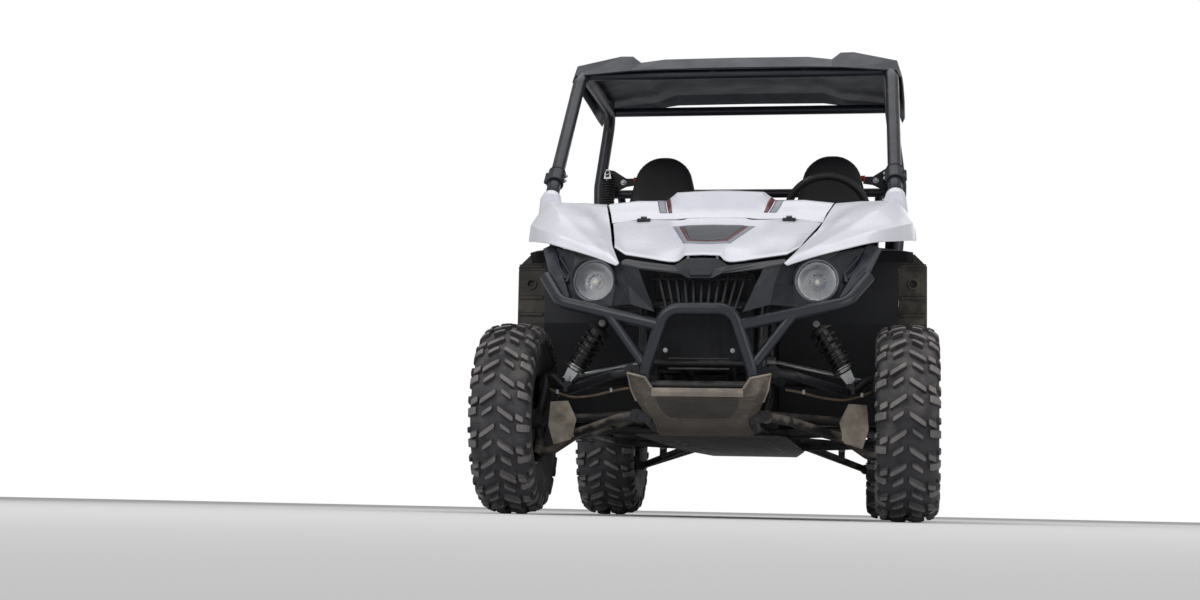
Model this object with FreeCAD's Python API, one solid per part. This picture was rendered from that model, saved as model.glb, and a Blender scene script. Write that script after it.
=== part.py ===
"""Side by side utility vehicle with two seats, a tube cage and a hard roof, as separate pieces.

The part's own frame is in millimetres: +X is the vehicle's left, -Y its front, +Z up.
The origin is on the ground, midway along the vehicle's length and width.
In the tables a place is (x, aft, z): aft is measured back from the front axle.
"""

import FreeCAD, Part
import math
import os

from FreeCAD import Vector

# Driving dimensions
WHEELBASE = 2065.0
FRONT_OVERHANG = 372.0
REAR_OVERHANG = 458.0
OVERALL_WIDTH = 1524.0
TYRE_RADIUS = 325.0
LUG_DEPTH = 15.0
LUG_ROOT = 24.0
LUG_REACH = 28.0
LUG_PITCHES = 18
TREAD_SIDES = 18
FRONT_TYRE_WIDTH = 203.0
REAR_TYRE_WIDTH = 254.0

# Clearances
RUNNING_GAP = 0.3
SEAT_GAP = 0.3
PANEL_SEAM = 5.0

# Wheels
RIM_RADIUS = 155.0
RIM_WALL = 6.0
RIM_HOLES = 7
RIM_HOLE_PITCH = 102.0
RIM_HOLE_RADIUS = 29.0
HUB_RADIUS = 48.0
HUB_NECK_RADIUS = 34.0
DISC_INSET = 52.0
DISC_THICKNESS = 5.0
DISC_RADIUS = 98.0
DISC_CLEARANCE = 5.0
SPINDLE_RADIUS = 16.0
SPINDLE_REACH = 36.0
UPRIGHT_INSET = 62.0

# Suspension
ARM_TUBE_RADIUS = 15.0
BUSH_RADIUS = 21.0
BUSH_HALF_LENGTH = 24.0
BOLT_RADIUS = 6.0
BOLT_HEAD = 6.0
TAB_HALF_WIDTH = 14.0
TAB_THICKNESS = 5.0
KINGPIN_TOP_INSET = 100.0
KINGPIN_BOTTOM_INSET = 86.0
KINGPIN_TOP_Z = 448.0
KINGPIN_BOTTOM_Z = 235.0
KNUCKLE_LUG_RADIUS = 20.0
KNUCKLE_LUG_HEIGHT = 20.0
BALL_HOUSING_RADIUS = 18.0
BALL_HOUSING_HEIGHT = 26.0
BALL_STUD_RADIUS = 7.0
BRACE_SHARE = 0.4
STEERING_ARM_LENGTH = 90.0
STEERING_ARM_INSET = 18.0
TIE_ROD_END_GAP = 8.0
TIE_ROD_END_RADIUS = 11.0
SPRING_RADIUS = 37.0
SPRING_GROOVE = 8.0
SPRING_TURNS = 7
EYE_RADIUS = 16.0
EYE_HALF_LENGTH = 15.0

# Steering
RACK_Z = 535.0
RACK_BAR_RADIUS = 11.0
RACK_BAR_REACH = 205.0
RACK_SLEEVE_REACH = 140.0
RACK_SLEEVE_RADIUS = 24.0
STEERING_WHEEL_PLACE = (361.0, 985.0, 1192.0)
STEERING_WHEEL_RADIUS = 172.0
STEERING_GRIP_RADIUS = 15.0
STEERING_TILT_DEG = 28.0
STEERING_SHAFT_RADIUS = 14.0
COLUMN_RADIUS = 26.0

# Frame, bumper and cage tubes
FRAME_TUBE_RADIUS = 19.0
TOWER_TUBE_RADIUS = 16.0
BUMPER_TUBE_RADIUS = 20.0
CAGE_TUBE_RADIUS = 25.0
CAGE_BEND = 90.0
CROSS_TUBE_RADIUS = 19.0
BRACE_TUBE_RADIUS = 17.0
RAIL_X = 165.0
RAIL_Z = 300.0
SILL_X = 575.0
SILL_Z = 315.0
TOWER_X = 195.0
TOWER_TOP_Z = 700.0
BED_RAIL_X = 335.0
BED_RAIL_Z = 858.0

# Sheets and mouldings
PANEL_WALL = 4.0
MOULDING_WALL = 5.0
SKID_WALL = 5.0

# Cab and load bed
FOOTWELL_FRONT = 405.0
FOOTWELL_HALF_WIDTH = 570.0
TUB_HALF_WIDTH = 630.0
DOOR_FRONT = 450.0
DOOR_LENGTH = 985.0
DOOR_OUTER_X = 690.0
DOOR_THICKNESS = 42.0
DOOR_PIN_X = 693.0
DOOR_PIN_SETBACK = 12.0
SILL_TOP_Z = 455.0
DASH_FRONT = 455.0
DASH_HALF_WIDTH = 560.0
SEAT_X = 361.0
CUSHION_HALF_WIDTH = 225.0
CUSHION_TOP_Z = 700.0
CUSHION_THICKNESS = 105.0
BACK_LEAN_DEG = 11.0
BACK_THICKNESS = 80.0
BED_HALF_WIDTH = 560.0
BED_WALL_TOP_Z = 1048.0
BED_TAIL_TOP_Z = 1000.0
HEADLIGHT_PLACE = (368.0, -175.0, 776.0)
HEADLIGHT_RADIUS = 71.0
HOOD_PIN_PLACE = (48.0, -252.0, 836.0)
HOOD_PIN_RADIUS = 5.0

# Places worked out from the driving dimensions
OVERALL_LENGTH = FRONT_OVERHANG + WHEELBASE + REAR_OVERHANG
FRONT_AXLE_Y = FRONT_OVERHANG - OVERALL_LENGTH / 2
FRONT_WHEEL_X = (OVERALL_WIDTH - FRONT_TYRE_WIDTH) / 2
REAR_WHEEL_X = (OVERALL_WIDTH - REAR_TYRE_WIDTH) / 2
CAB_REAR = WHEELBASE - 415.0
DOOR_REAR = DOOR_FRONT + DOOR_LENGTH
FLOOR_Z = SILL_Z + FRAME_TUBE_RADIUS + SEAT_GAP
RISER_FRONT = CAB_REAR - 560.0
RISER_REAR = CAB_REAR - 145.0
RISER_TOP_Z = CUSHION_TOP_Z - CUSHION_THICKNESS - SEAT_GAP
BACK_FOOT = CAB_REAR - 270.0
BELT_BAR = CAB_REAR - 12.0
BED_FRONT = WHEELBASE - 330.0
TAIL = WHEELBASE + REAR_OVERHANG
BED_REAR = TAIL - 60.0
BED_FLOOR_Z = BED_RAIL_Z + BRACE_TUBE_RADIUS + SEAT_GAP
UPPER_BUSH_X = TOWER_X + TOWER_TUBE_RADIUS + BUSH_RADIUS + SEAT_GAP
LOWER_BUSH_X = RAIL_X + FRAME_TUBE_RADIUS + BUSH_RADIUS + 6

OUT = "parts"


def at(x, aft, z):
    """A place from the tables as a point of the part's frame."""
    return Vector(x, FRONT_AXLE_Y + aft, z)


def mirrored(shape):
    """The same shape on the other side of the centre plane."""
    return shape.mirror(Vector(0, 0, 0), Vector(1, 0, 0))


def joined(shapes):
    """The shapes fused into one."""
    return shapes[0].fuse(shapes[1:])


def both(shapes):
    """Left pieces and their mirror images, fused into one."""
    return joined(shapes + [mirrored(shape) for shape in shapes])


def loose(shapes):
    """Solids that stay apart in one piece."""
    return Part.makeCompound([solid for shape in shapes for solid in shape.Solids])


def pair(shape):
    """A left piece and its mirror image, which stay apart."""
    return loose([shape, mirrored(shape)])


def bent_path(points, bend):
    """Straight runs joined by tangent arcs of radius bend, or less where a run is short."""
    edges, start = [], points[0]
    for before, corner, after in zip(points, points[1:], points[2:]):
        back, on = before - corner, after - corner
        short = min(back.Length, on.Length)
        back.normalize()
        on.normalize()
        half_turn = (math.pi - back.getAngle(on)) / 2
        radius = min(bend, 0.45 * short / math.tan(half_turn))
        reach = radius * math.tan(half_turn)
        enter, leave = corner + back * reach, corner + on * reach
        inward = back + on
        inward.normalize()
        middle = corner + inward * (radius / math.cos(half_turn) - radius)
        edges.append(Part.LineSegment(start, enter).toShape())
        edges.append(Part.Arc(enter, middle, leave).toShape())
        start = leave
    edges.append(Part.LineSegment(start, points[-1]).toShape())
    return Part.Wire(edges)


def tube(places, radius, bend=60.0):
    """A round bar along places from the tables."""
    points = [at(*place) for place in places]
    section = Part.Wire([Part.makeCircle(radius, points[0], points[1] - points[0])])
    return bent_path(points, bend).makePipeShell([section], True, False)


def rod(start, end, radius):
    """A round bar from one point to another."""
    return Part.makeCylinder(radius, (end - start).Length, start, end - start)


def bar(start, end, radius):
    """A round bar from one place in the tables to another."""
    return rod(at(*start), at(*end), radius)


def cross_bar(half_width, aft, z, radius):
    """A round bar straight across the vehicle."""
    return bar((-half_width, aft, z), (half_width, aft, z), radius)


def ring(start, end, outer, inner):
    """A round sleeve from one point to another."""
    return rod(start, end, outer).cut(rod(start, end, inner))


def spun(profile, start, axis):
    """A solid turned about axis through start, from a profile of (distance along, radius)."""
    side = axis.cross(Vector(0, 1, 0)) if abs(axis.y) < 0.9 else axis.cross(Vector(1, 0, 0))
    side.normalize()
    points = [start + axis * along + side * radius for along, radius in profile]
    return Part.Face(Part.makePolygon(points + [points[0]])).revolve(start, axis, 360)


def block(x, aft, z):
    """A box from three (low, high) pairs."""
    low, high = at(x[0], aft[0], z[0]), at(x[1], aft[1], z[1])
    size = high - low
    return Part.makeBox(size.x, size.y, size.z, low)


def plate(points, push):
    """A flat outline pushed into a solid."""
    return Part.Face(Part.makePolygon(points + [points[0]])).extrude(push)


def side_plate(outline, x_low, x_high):
    """A plate between two x places, with its outline given as (aft, z)."""
    return plate([at(x_low, aft, z) for aft, z in outline], Vector(x_high - x_low, 0, 0))


def cross_plate(outline, aft_low, aft_high):
    """A plate between two aft places, with its outline given as (x, z)."""
    return plate([at(x, aft_low, z) for x, z in outline], Vector(0, aft_high - aft_low, 0))


def level_plate(outline, z_low, z_high):
    """A plate between two heights, with its outline given as (x, aft)."""
    return plate([at(x, aft, z_low) for x, aft in outline], Vector(0, 0, z_high - z_low))


def strip(points, wall):
    """The outline of a bent sheet: the points, then the same line moved to the right by wall."""
    normals = []
    for (a, b), (c, d) in zip(points, points[1:]):
        length = math.hypot(c - a, d - b)
        normals.append(((d - b) / length, (a - c) / length))
    moved = []
    for (u, v), before, after in zip(points, normals[:1] + normals, normals + normals[-1:]):
        across, along = before[0] + after[0], before[1] + after[1]
        share = 2 * wall / (across**2 + along**2)
        moved.append((u + across * share, v + along * share))
    return points + moved[::-1]


def quad(a, b, c, d):
    """The flat faces of a panel's cell: one if its corners are level, otherwise two."""
    if abs((b - a).cross(c - a).dot(d - a)) < 1e-3:
        cells = [[a, b, c, d]]
    else:
        cells = [[a, b, c], [a, c, d]]
    return [Part.Face(Part.makePolygon(cell + [cell[0]])) for cell in cells]


def panel(table, wall):
    """A sheet whose outer side passes through a table of rows of places.

    The outer side faces a viewer who sees the rows run left to right and follow one another
    upwards. The sheet is wall thick, away from that viewer.
    """
    outer = [[at(*place) for place in row] for row in table]
    last_row, last_column = len(outer) - 1, len(outer[0]) - 1
    inner = []
    for i, row in enumerate(outer):
        inner.append([])
        for j, point in enumerate(row):
            along = row[min(j + 1, last_column)] - row[max(j - 1, 0)]
            upward = outer[min(i + 1, last_row)][j] - outer[max(i - 1, 0)][j]
            normal = along.cross(upward)
            normal.normalize()
            inner[i].append(point - normal * wall)
    faces = []
    for i in range(last_row):
        for j in range(last_column):
            cell = ((i, j), (i, j + 1), (i + 1, j + 1), (i + 1, j))
            faces += quad(*[outer[row][column] for row, column in cell])
            faces += quad(*[inner[row][column] for row, column in cell])
    rim = [(0, j) for j in range(last_column)] + [(i, last_column) for i in range(last_row)]
    rim += [(last_row, j) for j in range(last_column, 0, -1)] + [(i, 0) for i in range(last_row, 0, -1)]
    for (i, j), (k, m) in zip(rim, rim[1:] + rim[:1]):
        faces += quad(outer[i][j], inner[i][j], inner[k][m], outer[k][m])
    shell = Part.makeShell(faces)
    shell.sewShape()
    solid = Part.makeSolid(shell)
    if solid.Volume < 0:
        solid.reverse()
    return solid


def whole_width(table):
    """Rows from the centre plane outwards, made whole by their mirror image."""
    return [[(-x, aft, z) for x, aft, z in row[:0:-1]] + row for row in table]


def clevis(eye, anchor, half_length):
    """A bracket of two tabs on a back plate, with the bolt of a bush lying along the vehicle.

    anchor is the (x, z) place of the back plate.
    """
    x, aft, z = eye
    from_x, from_z = anchor
    length = math.hypot(x - from_x, z - from_z)
    along_x, along_z = (x - from_x) / length, (z - from_z) / length

    def tongue(first, last):
        """The outline between two distances from the anchor towards the bush."""
        across, rise = -along_z * TAB_HALF_WIDTH, along_x * TAB_HALF_WIDTH
        low = (from_x + along_x * first, from_z + along_z * first)
        high = (from_x + along_x * last, from_z + along_z * last)
        return [
            (low[0] + across, low[1] + rise),
            (high[0] + across, high[1] + rise),
            (high[0] - across, high[1] - rise),
            (low[0] - across, low[1] - rise),
        ]

    start, end = half_length + SEAT_GAP, half_length + SEAT_GAP + TAB_THICKNESS
    outline = tongue(0, length)
    pieces = [
        bar((x, aft - end - BOLT_HEAD, z), (x, aft + end + BOLT_HEAD, z), BOLT_RADIUS),
        cross_plate(tongue(-TAB_THICKNESS, TAB_THICKNESS), aft - end, aft + end),
    ]
    for low, high in ((aft - end, aft - start), (aft + start, aft + end)):
        pieces.append(cross_plate(outline, low, high))
        pieces.append(bar((x, low, z), (x, high, z), TAB_HALF_WIDTH))
    return joined(pieces)


def bush(place):
    """An arm's bush, lying along the vehicle."""
    x, aft, z = place
    return bar((x, aft - BUSH_HALF_LENGTH, z), (x, aft + BUSH_HALF_LENGTH, z), BUSH_RADIUS)


def bored(shape, places, half_length):
    """The shape with bolt holes along the vehicle at the places."""
    for x, aft, z in places:
        hole = bar((x, aft - half_length - 1, z), (x, aft + half_length + 1, z), BOLT_RADIUS + SEAT_GAP)
        shape = shape.cut(hole)
    return shape


# Wheels


def around(x, radius, turn):
    """A point near a wheel's middle: x along its axle, turn in degrees up from straight back."""
    angle = math.radians(turn)
    return Vector(x, radius * math.cos(angle), radius * math.sin(angle))


def carcass(width):
    """A tyre's carcass in flat facets, about the origin."""
    crown = TYRE_RADIUS - LUG_DEPTH
    half = width / 2
    # columns: share of the half width, radius
    profile = [
        (0.74, RIM_RADIUS / math.cos(math.pi / TREAD_SIDES)),
        (0.96, RIM_RADIUS + 55),
        (0.95, crown - 34),
        (0.80, crown - 8),
        (0.30, crown),
    ]
    line = [(share * half, radius) for share, radius in profile]
    line += [(-x, radius) for x, radius in line[::-1]]
    turns = [360 * n / TREAD_SIDES for n in range(TREAD_SIDES + 1)]
    faces = []
    for (x, radius), (next_x, next_radius) in zip(line, line[1:] + line[:1]):
        for turn, next_turn in zip(turns, turns[1:]):
            cell = [around(x, radius, turn), around(next_x, next_radius, turn)]
            cell += [around(next_x, next_radius, next_turn), around(x, radius, next_turn)]
            faces.append(Part.Face(Part.makePolygon(cell + cell[:1])))
    shell = Part.makeShell(faces)
    shell.sewShape()
    solid = Part.makeSolid(shell)
    if solid.Volume < 0:
        solid.reverse()
    return solid


def tread_block(width, turn, side):
    """A slanted lug from near the tread's middle to its shoulder, about the origin."""
    half = width / 2
    out, along = around(0, 1, turn), around(0, 1, turn + 90)
    base = out * (TYRE_RADIUS - LUG_DEPTH - LUG_ROOT)
    # columns: share of the half width, place round the tread
    corners = [(0.05, -LUG_REACH), (0.96, -2), (0.96, LUG_REACH), (0.05, -4)]
    outline = [base + Vector(side * share * half, 0, 0) + along * place for share, place in corners]
    return plate(outline, out * (LUG_DEPTH + LUG_ROOT))


def tyre(width):
    """A tyre about the origin, with a slanted lug on each side of every pitch."""
    body = carcass(width)
    blocks = []
    for n in range(LUG_PITCHES):
        for side, shift in ((1, 0.0), (-1, 0.5)):
            blocks.append(tread_block(width, 360 * (n + shift) / LUG_PITCHES, side))
    return joined([body] + blocks)


def rim(centre, width):
    """A left cast wheel with its hub and brake disc."""
    half = 0.74 * width / 2
    out = Vector(1, 0, 0)
    radius = RIM_RADIUS - SEAT_GAP
    # columns: distance out from the wheel's middle, radius
    section = [
        (-half, radius),
        (half, radius),
        (half, radius - RIM_WALL),
        (half - 26, radius - RIM_WALL),
        (half - 34, HUB_RADIUS + 34),
        (half - 18, HUB_RADIUS),
        (half - 15, 0),
        (-DISC_INSET, 0),
        (-DISC_INSET, DISC_RADIUS),
        (-DISC_INSET + DISC_THICKNESS, DISC_RADIUS),
        (-DISC_INSET + DISC_THICKNESS, HUB_NECK_RADIUS),
        (half - 62, HUB_NECK_RADIUS),
        (half - 46, HUB_RADIUS + 30),
        (half - 40, radius - RIM_WALL),
        (-half, radius - RIM_WALL),
    ]
    solid = spun(section, centre, out)
    for n in range(RIM_HOLES):
        turn = 2 * math.pi * (n + 0.5) / RIM_HOLES
        hole = centre + Vector(0, math.cos(turn), math.sin(turn)) * RIM_HOLE_PITCH
        solid = solid.cut(rod(hole + out * (half - 62), hole + out * half, RIM_HOLE_RADIUS))
    bore = rod(
        centre - out * (DISC_INSET + 1), centre + out * (SPINDLE_REACH + 5), SPINDLE_RADIUS + RUNNING_GAP,
    )
    return solid.cut(bore)


def wheel_centre(rear):
    """The middle of a left wheel."""
    if rear:
        return at(REAR_WHEEL_X, WHEELBASE, TYRE_RADIUS)
    return at(FRONT_WHEEL_X, 0, TYRE_RADIUS)


def wheels():
    """Tyres and rims of the four wheels."""
    made = {}
    for end, rear, width in (("front", False, FRONT_TYRE_WIDTH), ("rear", True, REAR_TYRE_WIDTH)):
        centre = wheel_centre(rear)
        tread = tyre(width)
        tread.translate(centre)
        left_rim = rim(centre, width)
        made["tyre_%s_left" % end] = tread
        made["tyre_%s_right" % end] = mirrored(tread)
        made["rim_%s_left" % end] = left_rim
        made["rim_%s_right" % end] = mirrored(left_rim)
    return made


# Front suspension


def kingpin():
    """The left kingpin's top and bottom ball places and its direction, pointing up."""
    top = at(FRONT_WHEEL_X - KINGPIN_TOP_INSET, 0, KINGPIN_TOP_Z)
    bottom = at(FRONT_WHEEL_X - KINGPIN_BOTTOM_INSET, 0, KINGPIN_BOTTOM_Z)
    along = top - bottom
    along.normalize()
    return top, bottom, along


def steering_eye():
    """The middle of the top face of the left steering arm's eye."""
    top, _, _ = kingpin()
    return top + Vector(-STEERING_ARM_INSET, STEERING_ARM_LENGTH, 0)


def front_knuckle():
    """The left front knuckle: upright, spindle, steering arm and brake caliper."""
    top, bottom, along = kingpin()
    centre = wheel_centre(False)
    lug = along * KNUCKLE_LUG_HEIGHT
    boss_in, boss_out = centre - Vector(UPRIGHT_INSET + 34, 0, 0), centre - Vector(UPRIGHT_INSET, 0, 0)
    middle = centre - Vector(UPRIGHT_INSET + 17, 0, 0)
    eye = steering_eye()
    pieces = [
        rod(top - lug, top, KNUCKLE_LUG_RADIUS),
        rod(bottom, bottom + lug, KNUCKLE_LUG_RADIUS),
        rod(boss_in, boss_out, 36),
        rod(boss_in, centre + Vector(SPINDLE_REACH, 0, 0), SPINDLE_RADIUS),
        rod(top - lug * 0.6, middle, 16),
        rod(bottom + lug * 0.6, middle, 16),
        rod(eye - Vector(0, 0, 16), eye, 15),
        rod(top - lug * 0.55, eye - Vector(0, 0, 8), 9),
        rod(middle, middle + Vector(0, 88, 26), 13),
    ]
    caliper = Part.makeBox(58, 34, 70, centre + Vector(-DISC_INSET - 34, 78, -12))
    slot = rod(
        centre - Vector(DISC_INSET + DISC_CLEARANCE, 0, 0),
        centre - Vector(DISC_INSET - DISC_THICKNESS - DISC_CLEARANCE, 0, 0),
        DISC_RADIUS + DISC_CLEARANCE,
    )
    solid = joined(pieces + [caliper.cut(slot)])
    stud = BALL_STUD_RADIUS + RUNNING_GAP
    return solid.cut(rod(top - lug, top + lug, stud)).cut(rod(bottom - lug, bottom + lug, stud))


# Places that follow the wheels: distances in from the wheel's middle
FRONT_KNEE_X = FRONT_WHEEL_X - 184.5
FRONT_SHOCK_TOP_X = FRONT_WHEEL_X - 298.5
FRONT_SHOCK_FOOT_X = FRONT_KNEE_X - 2
GUARD_X = FRONT_WHEEL_X - 220.5
REAR_SHOCK_FOOT_X = REAR_WHEEL_X - 237
REAR_OUTER_X = REAR_WHEEL_X - 135

# columns: x, aft, z of each bush on the frame
FRONT_UPPER_BUSHES = [(UPPER_BUSH_X, -222.0, 474.0), (UPPER_BUSH_X, 158.0, 474.0)]
FRONT_LOWER_BUSHES = [(LOWER_BUSH_X, -222.0, 328.0), (LOWER_BUSH_X, 165.0, 328.0)]
REAR_TOWER_AFT = WHEELBASE + 62.0
REAR_UPPER_BUSHES = [(UPPER_BUSH_X, REAR_TOWER_AFT, 470.0)]
REAR_LOWER_BUSHES = [(LOWER_BUSH_X, WHEELBASE - 170, 328.0), (LOWER_BUSH_X, WHEELBASE + 150, 328.0)]
REAR_OUTER_TOP = (REAR_OUTER_X, WHEELBASE, 440.0)
REAR_OUTER_BOTTOM = (REAR_OUTER_X, WHEELBASE, 222.0)

# columns: top eye, bottom eye
FRONT_SHOCK = [(FRONT_SHOCK_TOP_X, -19.0, 650.0), (FRONT_SHOCK_FOOT_X, -19.0, 462.0)]
REAR_SHOCK = [(BED_RAIL_X + 10, WHEELBASE - 62, 792.0), (REAR_SHOCK_FOOT_X, WHEELBASE - 62, 305.0)]


def ball_joint(ball, away):
    """A ball joint's housing past the knuckle's lug, with the stud that goes into the lug."""
    start = ball + away * RUNNING_GAP
    stud = rod(ball - away * KNUCKLE_LUG_HEIGHT * 0.7, start + away * 5, BALL_STUD_RADIUS)
    return rod(start, start + away * BALL_HOUSING_HEIGHT, BALL_HOUSING_RADIUS).fuse(stud)


def from_point(point):
    """A point of the part's frame as a place in the tables."""
    return (point.x, point.y - FRONT_AXLE_Y, point.z)


def front_arms():
    """The left upper and lower wishbones."""
    top, bottom, along = kingpin()
    clear = ARM_TUBE_RADIUS + 6
    top_end, bottom_end = from_point(top + along * clear), from_point(bottom - along * clear)
    knee = FRONT_KNEE_X
    # columns: the bush, then the bends out to the ball joint
    upper_runs = [
        (FRONT_UPPER_BUSHES[0], (UPPER_BUSH_X + 58, -208, 466), (knee, -19, 421), (knee + 52, -8, 466)),
        (FRONT_UPPER_BUSHES[1], (UPPER_BUSH_X + 58, 148, 466), (knee + 8, 32, 440), (knee + 54, 12, 466)),
    ]
    lower_runs = [
        (FRONT_LOWER_BUSHES[0], (LOWER_BUSH_X + 57, -206, 321), (knee - 21, -28, 272), (knee + 59, -10, 216)),
        (FRONT_LOWER_BUSHES[1], (LOWER_BUSH_X + 57, 150, 321), (knee - 21, 28, 272), (knee + 59, 10, 216)),
    ]
    brace = [at(*run[1]) + (at(*run[2]) - at(*run[1])) * BRACE_SHARE for run in lower_runs]
    upper = [tube(list(run) + [top_end], ARM_TUBE_RADIUS, 40) for run in upper_runs]
    upper += [ball_joint(top, along), clevis(FRONT_SHOCK[1], upper_runs[0][2][::2], EYE_HALF_LENGTH)]
    lower = [tube(list(run) + [bottom_end], ARM_TUBE_RADIUS, 50) for run in lower_runs]
    lower += [ball_joint(bottom, along * -1), rod(brace[0], brace[1], ARM_TUBE_RADIUS - 5)]
    upper_arm = joined(upper + [bush(place) for place in FRONT_UPPER_BUSHES])
    lower_arm = joined(lower + [bush(place) for place in FRONT_LOWER_BUSHES])
    return [
        bored(upper_arm, FRONT_UPPER_BUSHES, BUSH_HALF_LENGTH),
        bored(lower_arm, FRONT_LOWER_BUSHES, BUSH_HALF_LENGTH),
    ]


def arm_guard(arms):
    """The moulded guard on the front of the left lower arm's outer end."""
    # columns: distance out from the guard's inner corner, z
    outline = [(0, 322), (30, 384), (90, 380), (96, 300), (76, 236), (16, 254)]
    face = cross_plate([(GUARD_X + x, z) for x, z in outline], -58, -52)
    foot = block((GUARD_X + 8, GUARD_X + 36), (-54, -10), (262, 290))
    return face.fuse(foot).cut(joined(arms))


def shock(eyes):
    """A shock absorber with its spring as a grooved sleeve."""
    top, bottom = at(*eyes[0]), at(*eyes[1])
    along = bottom - top
    length = along.Length
    along.normalize()
    spring_top, spring_bottom = 0.13 * length, 0.82 * length
    pitch = (spring_bottom - spring_top) / SPRING_TURNS
    profile = [
        (0, 0), (0, 12), (spring_top - 9, 12), (spring_top - 9, SPRING_RADIUS + 4),
        (spring_top, SPRING_RADIUS + 4),
    ]
    for n in range(SPRING_TURNS):
        profile.append((spring_top + pitch * (n + 0.1), SPRING_RADIUS - SPRING_GROOVE))
        profile.append((spring_top + pitch * (n + 0.5), SPRING_RADIUS))
    profile.append((spring_bottom - 1, SPRING_RADIUS - SPRING_GROOVE))
    profile.append((spring_bottom, SPRING_RADIUS + 4))
    profile.append((spring_bottom + 9, SPRING_RADIUS + 4))
    profile += [(spring_bottom + 9, 14), (length, 14), (length, 0)]
    solid = spun(profile, top, along)
    for x, aft, z in eyes:
        solid = solid.fuse(bar((x, aft - EYE_HALF_LENGTH, z), (x, aft + EYE_HALF_LENGTH, z), EYE_RADIUS))
    return bored(solid, eyes, EYE_HALF_LENGTH)


def tie_rods():
    """The rack's bar with a tie rod and its end on each side, which slide together."""
    end = steering_eye() + Vector(0, 0, TIE_ROD_END_GAP)
    inner = at(RACK_BAR_REACH, STEERING_ARM_LENGTH, RACK_Z)
    head = rod(end, end + Vector(0, 0, 18), TIE_ROD_END_RADIUS)
    link = rod(inner, end + Vector(0, 0, 9), 7)
    joint = rod(inner - Vector(14, 0, 0), inner + Vector(14, 0, 0), RACK_BAR_RADIUS + 5)
    return joined(
        [cross_bar(RACK_BAR_REACH, STEERING_ARM_LENGTH, RACK_Z, RACK_BAR_RADIUS), both([link, head, joint])]
    )


def rack_housing():
    """The steering rack's housing and its feet on the tower's cross tube."""
    feet = [
        block((x - 12, x + 12), (STEERING_ARM_LENGTH + 10, FRONT_TOWER_BACK + 4), (RACK_Z - 22, RACK_Z - 2))
        for x in (-95, 95)
    ]
    sleeve = cross_bar(RACK_SLEEVE_REACH, STEERING_ARM_LENGTH, RACK_Z, RACK_SLEEVE_RADIUS)
    bore = cross_bar(RACK_SLEEVE_REACH + 1, STEERING_ARM_LENGTH, RACK_Z, RACK_BAR_RADIUS + RUNNING_GAP)
    rest = cross_bar(TOWER_X, FRONT_TOWER_BACK, RACK_Z - 30, TOWER_TUBE_RADIUS - 2)
    return joined([sleeve] + feet).cut(bore).cut(rest)


def half_shaft(inner, outer):
    """A half shaft with its two boots."""
    along = outer - inner
    length = along.Length
    along.normalize()
    profile = [
        (0, 0), (0, 36), (22, 36), (85, 18), (90, 12), (length - 78, 12), (length - 74, 18),
        (length - 18, 32),
    ]
    return spun(profile + [(length, 32), (length, 0)], inner, along)


def driveline(aft, half_width, outer):
    """A final drive's casing, as one plain block with a turned nose, and its half shafts."""
    z_low = RAIL_Z + FRAME_TUBE_RADIUS - 2 + SEAT_GAP
    casing = block((-half_width, half_width), (aft - 85, aft + 85), (z_low, z_low + 110))
    shaft = half_shaft(at(half_width - 2, aft, z_low + 38), outer)
    return joined([casing, shaft, mirrored(shaft)])


# Frame

FRONT_TOWER_FRONT = -222.0
FRONT_TOWER_BACK = 158.0
NOSE_BAR_PLACE = (190.0, -318.0, 420.0)
BUMPER_FOOT = (172.0, -318.0, 425.0)
CAGE_FOOT_FRONT = 470.0
CAGE_FOOT_REAR = CAB_REAR - 110.0


def lower_frame():
    """The rails and cross tubes under the floor, with the lower arms' brackets."""
    x, aft, z = NOSE_BAR_PLACE
    rail = tube(
        [
            (RAIL_X, aft, z),
            (RAIL_X, -205, RAIL_Z + 14),
            (RAIL_X, -60, RAIL_Z),
            (RAIL_X, WHEELBASE + 180, RAIL_Z),
            (RAIL_X, TAIL - 130, HITCH_Z),
            (RAIL_X, TAIL - BUMPER_TUBE_RADIUS, HITCH_Z),
        ],
        FRAME_TUBE_RADIUS,
    )
    tabs = [
        clevis(place, (RAIL_X, place[2] - 10), BUSH_HALF_LENGTH) for place in FRONT_LOWER_BUSHES + REAR_LOWER_BUSHES
    ]
    cross = [
        cross_bar(RAIL_X, place, RAIL_Z, FRAME_TUBE_RADIUS - 2)
        for place in (10, FOOTWELL_FRONT + 330, CAB_REAR - 230, WHEELBASE + 20)
    ]
    return joined([both([rail] + tabs), cross_bar(x, aft, z, FRAME_TUBE_RADIUS - 3)] + cross)


def sill_frame(rails):
    """The tube round each side of the floor, from its rail out to the sill and back."""
    front, rear = FOOTWELL_FRONT + 25, CAB_REAR + 10
    sill = tube(
        [
            (RAIL_X, front, RAIL_Z),
            (SILL_X - 120, front, SILL_Z),
            (SILL_X, front + 105, SILL_Z),
            (SILL_X, rear - 70, SILL_Z),
            (SILL_X - 90, rear, SILL_Z),
            (RAIL_X, rear, RAIL_Z),
        ],
        FRAME_TUBE_RADIUS,
        70,
    )
    return pair(max(sill.cut(rails).Solids, key=lambda solid: solid.Volume))


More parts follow.
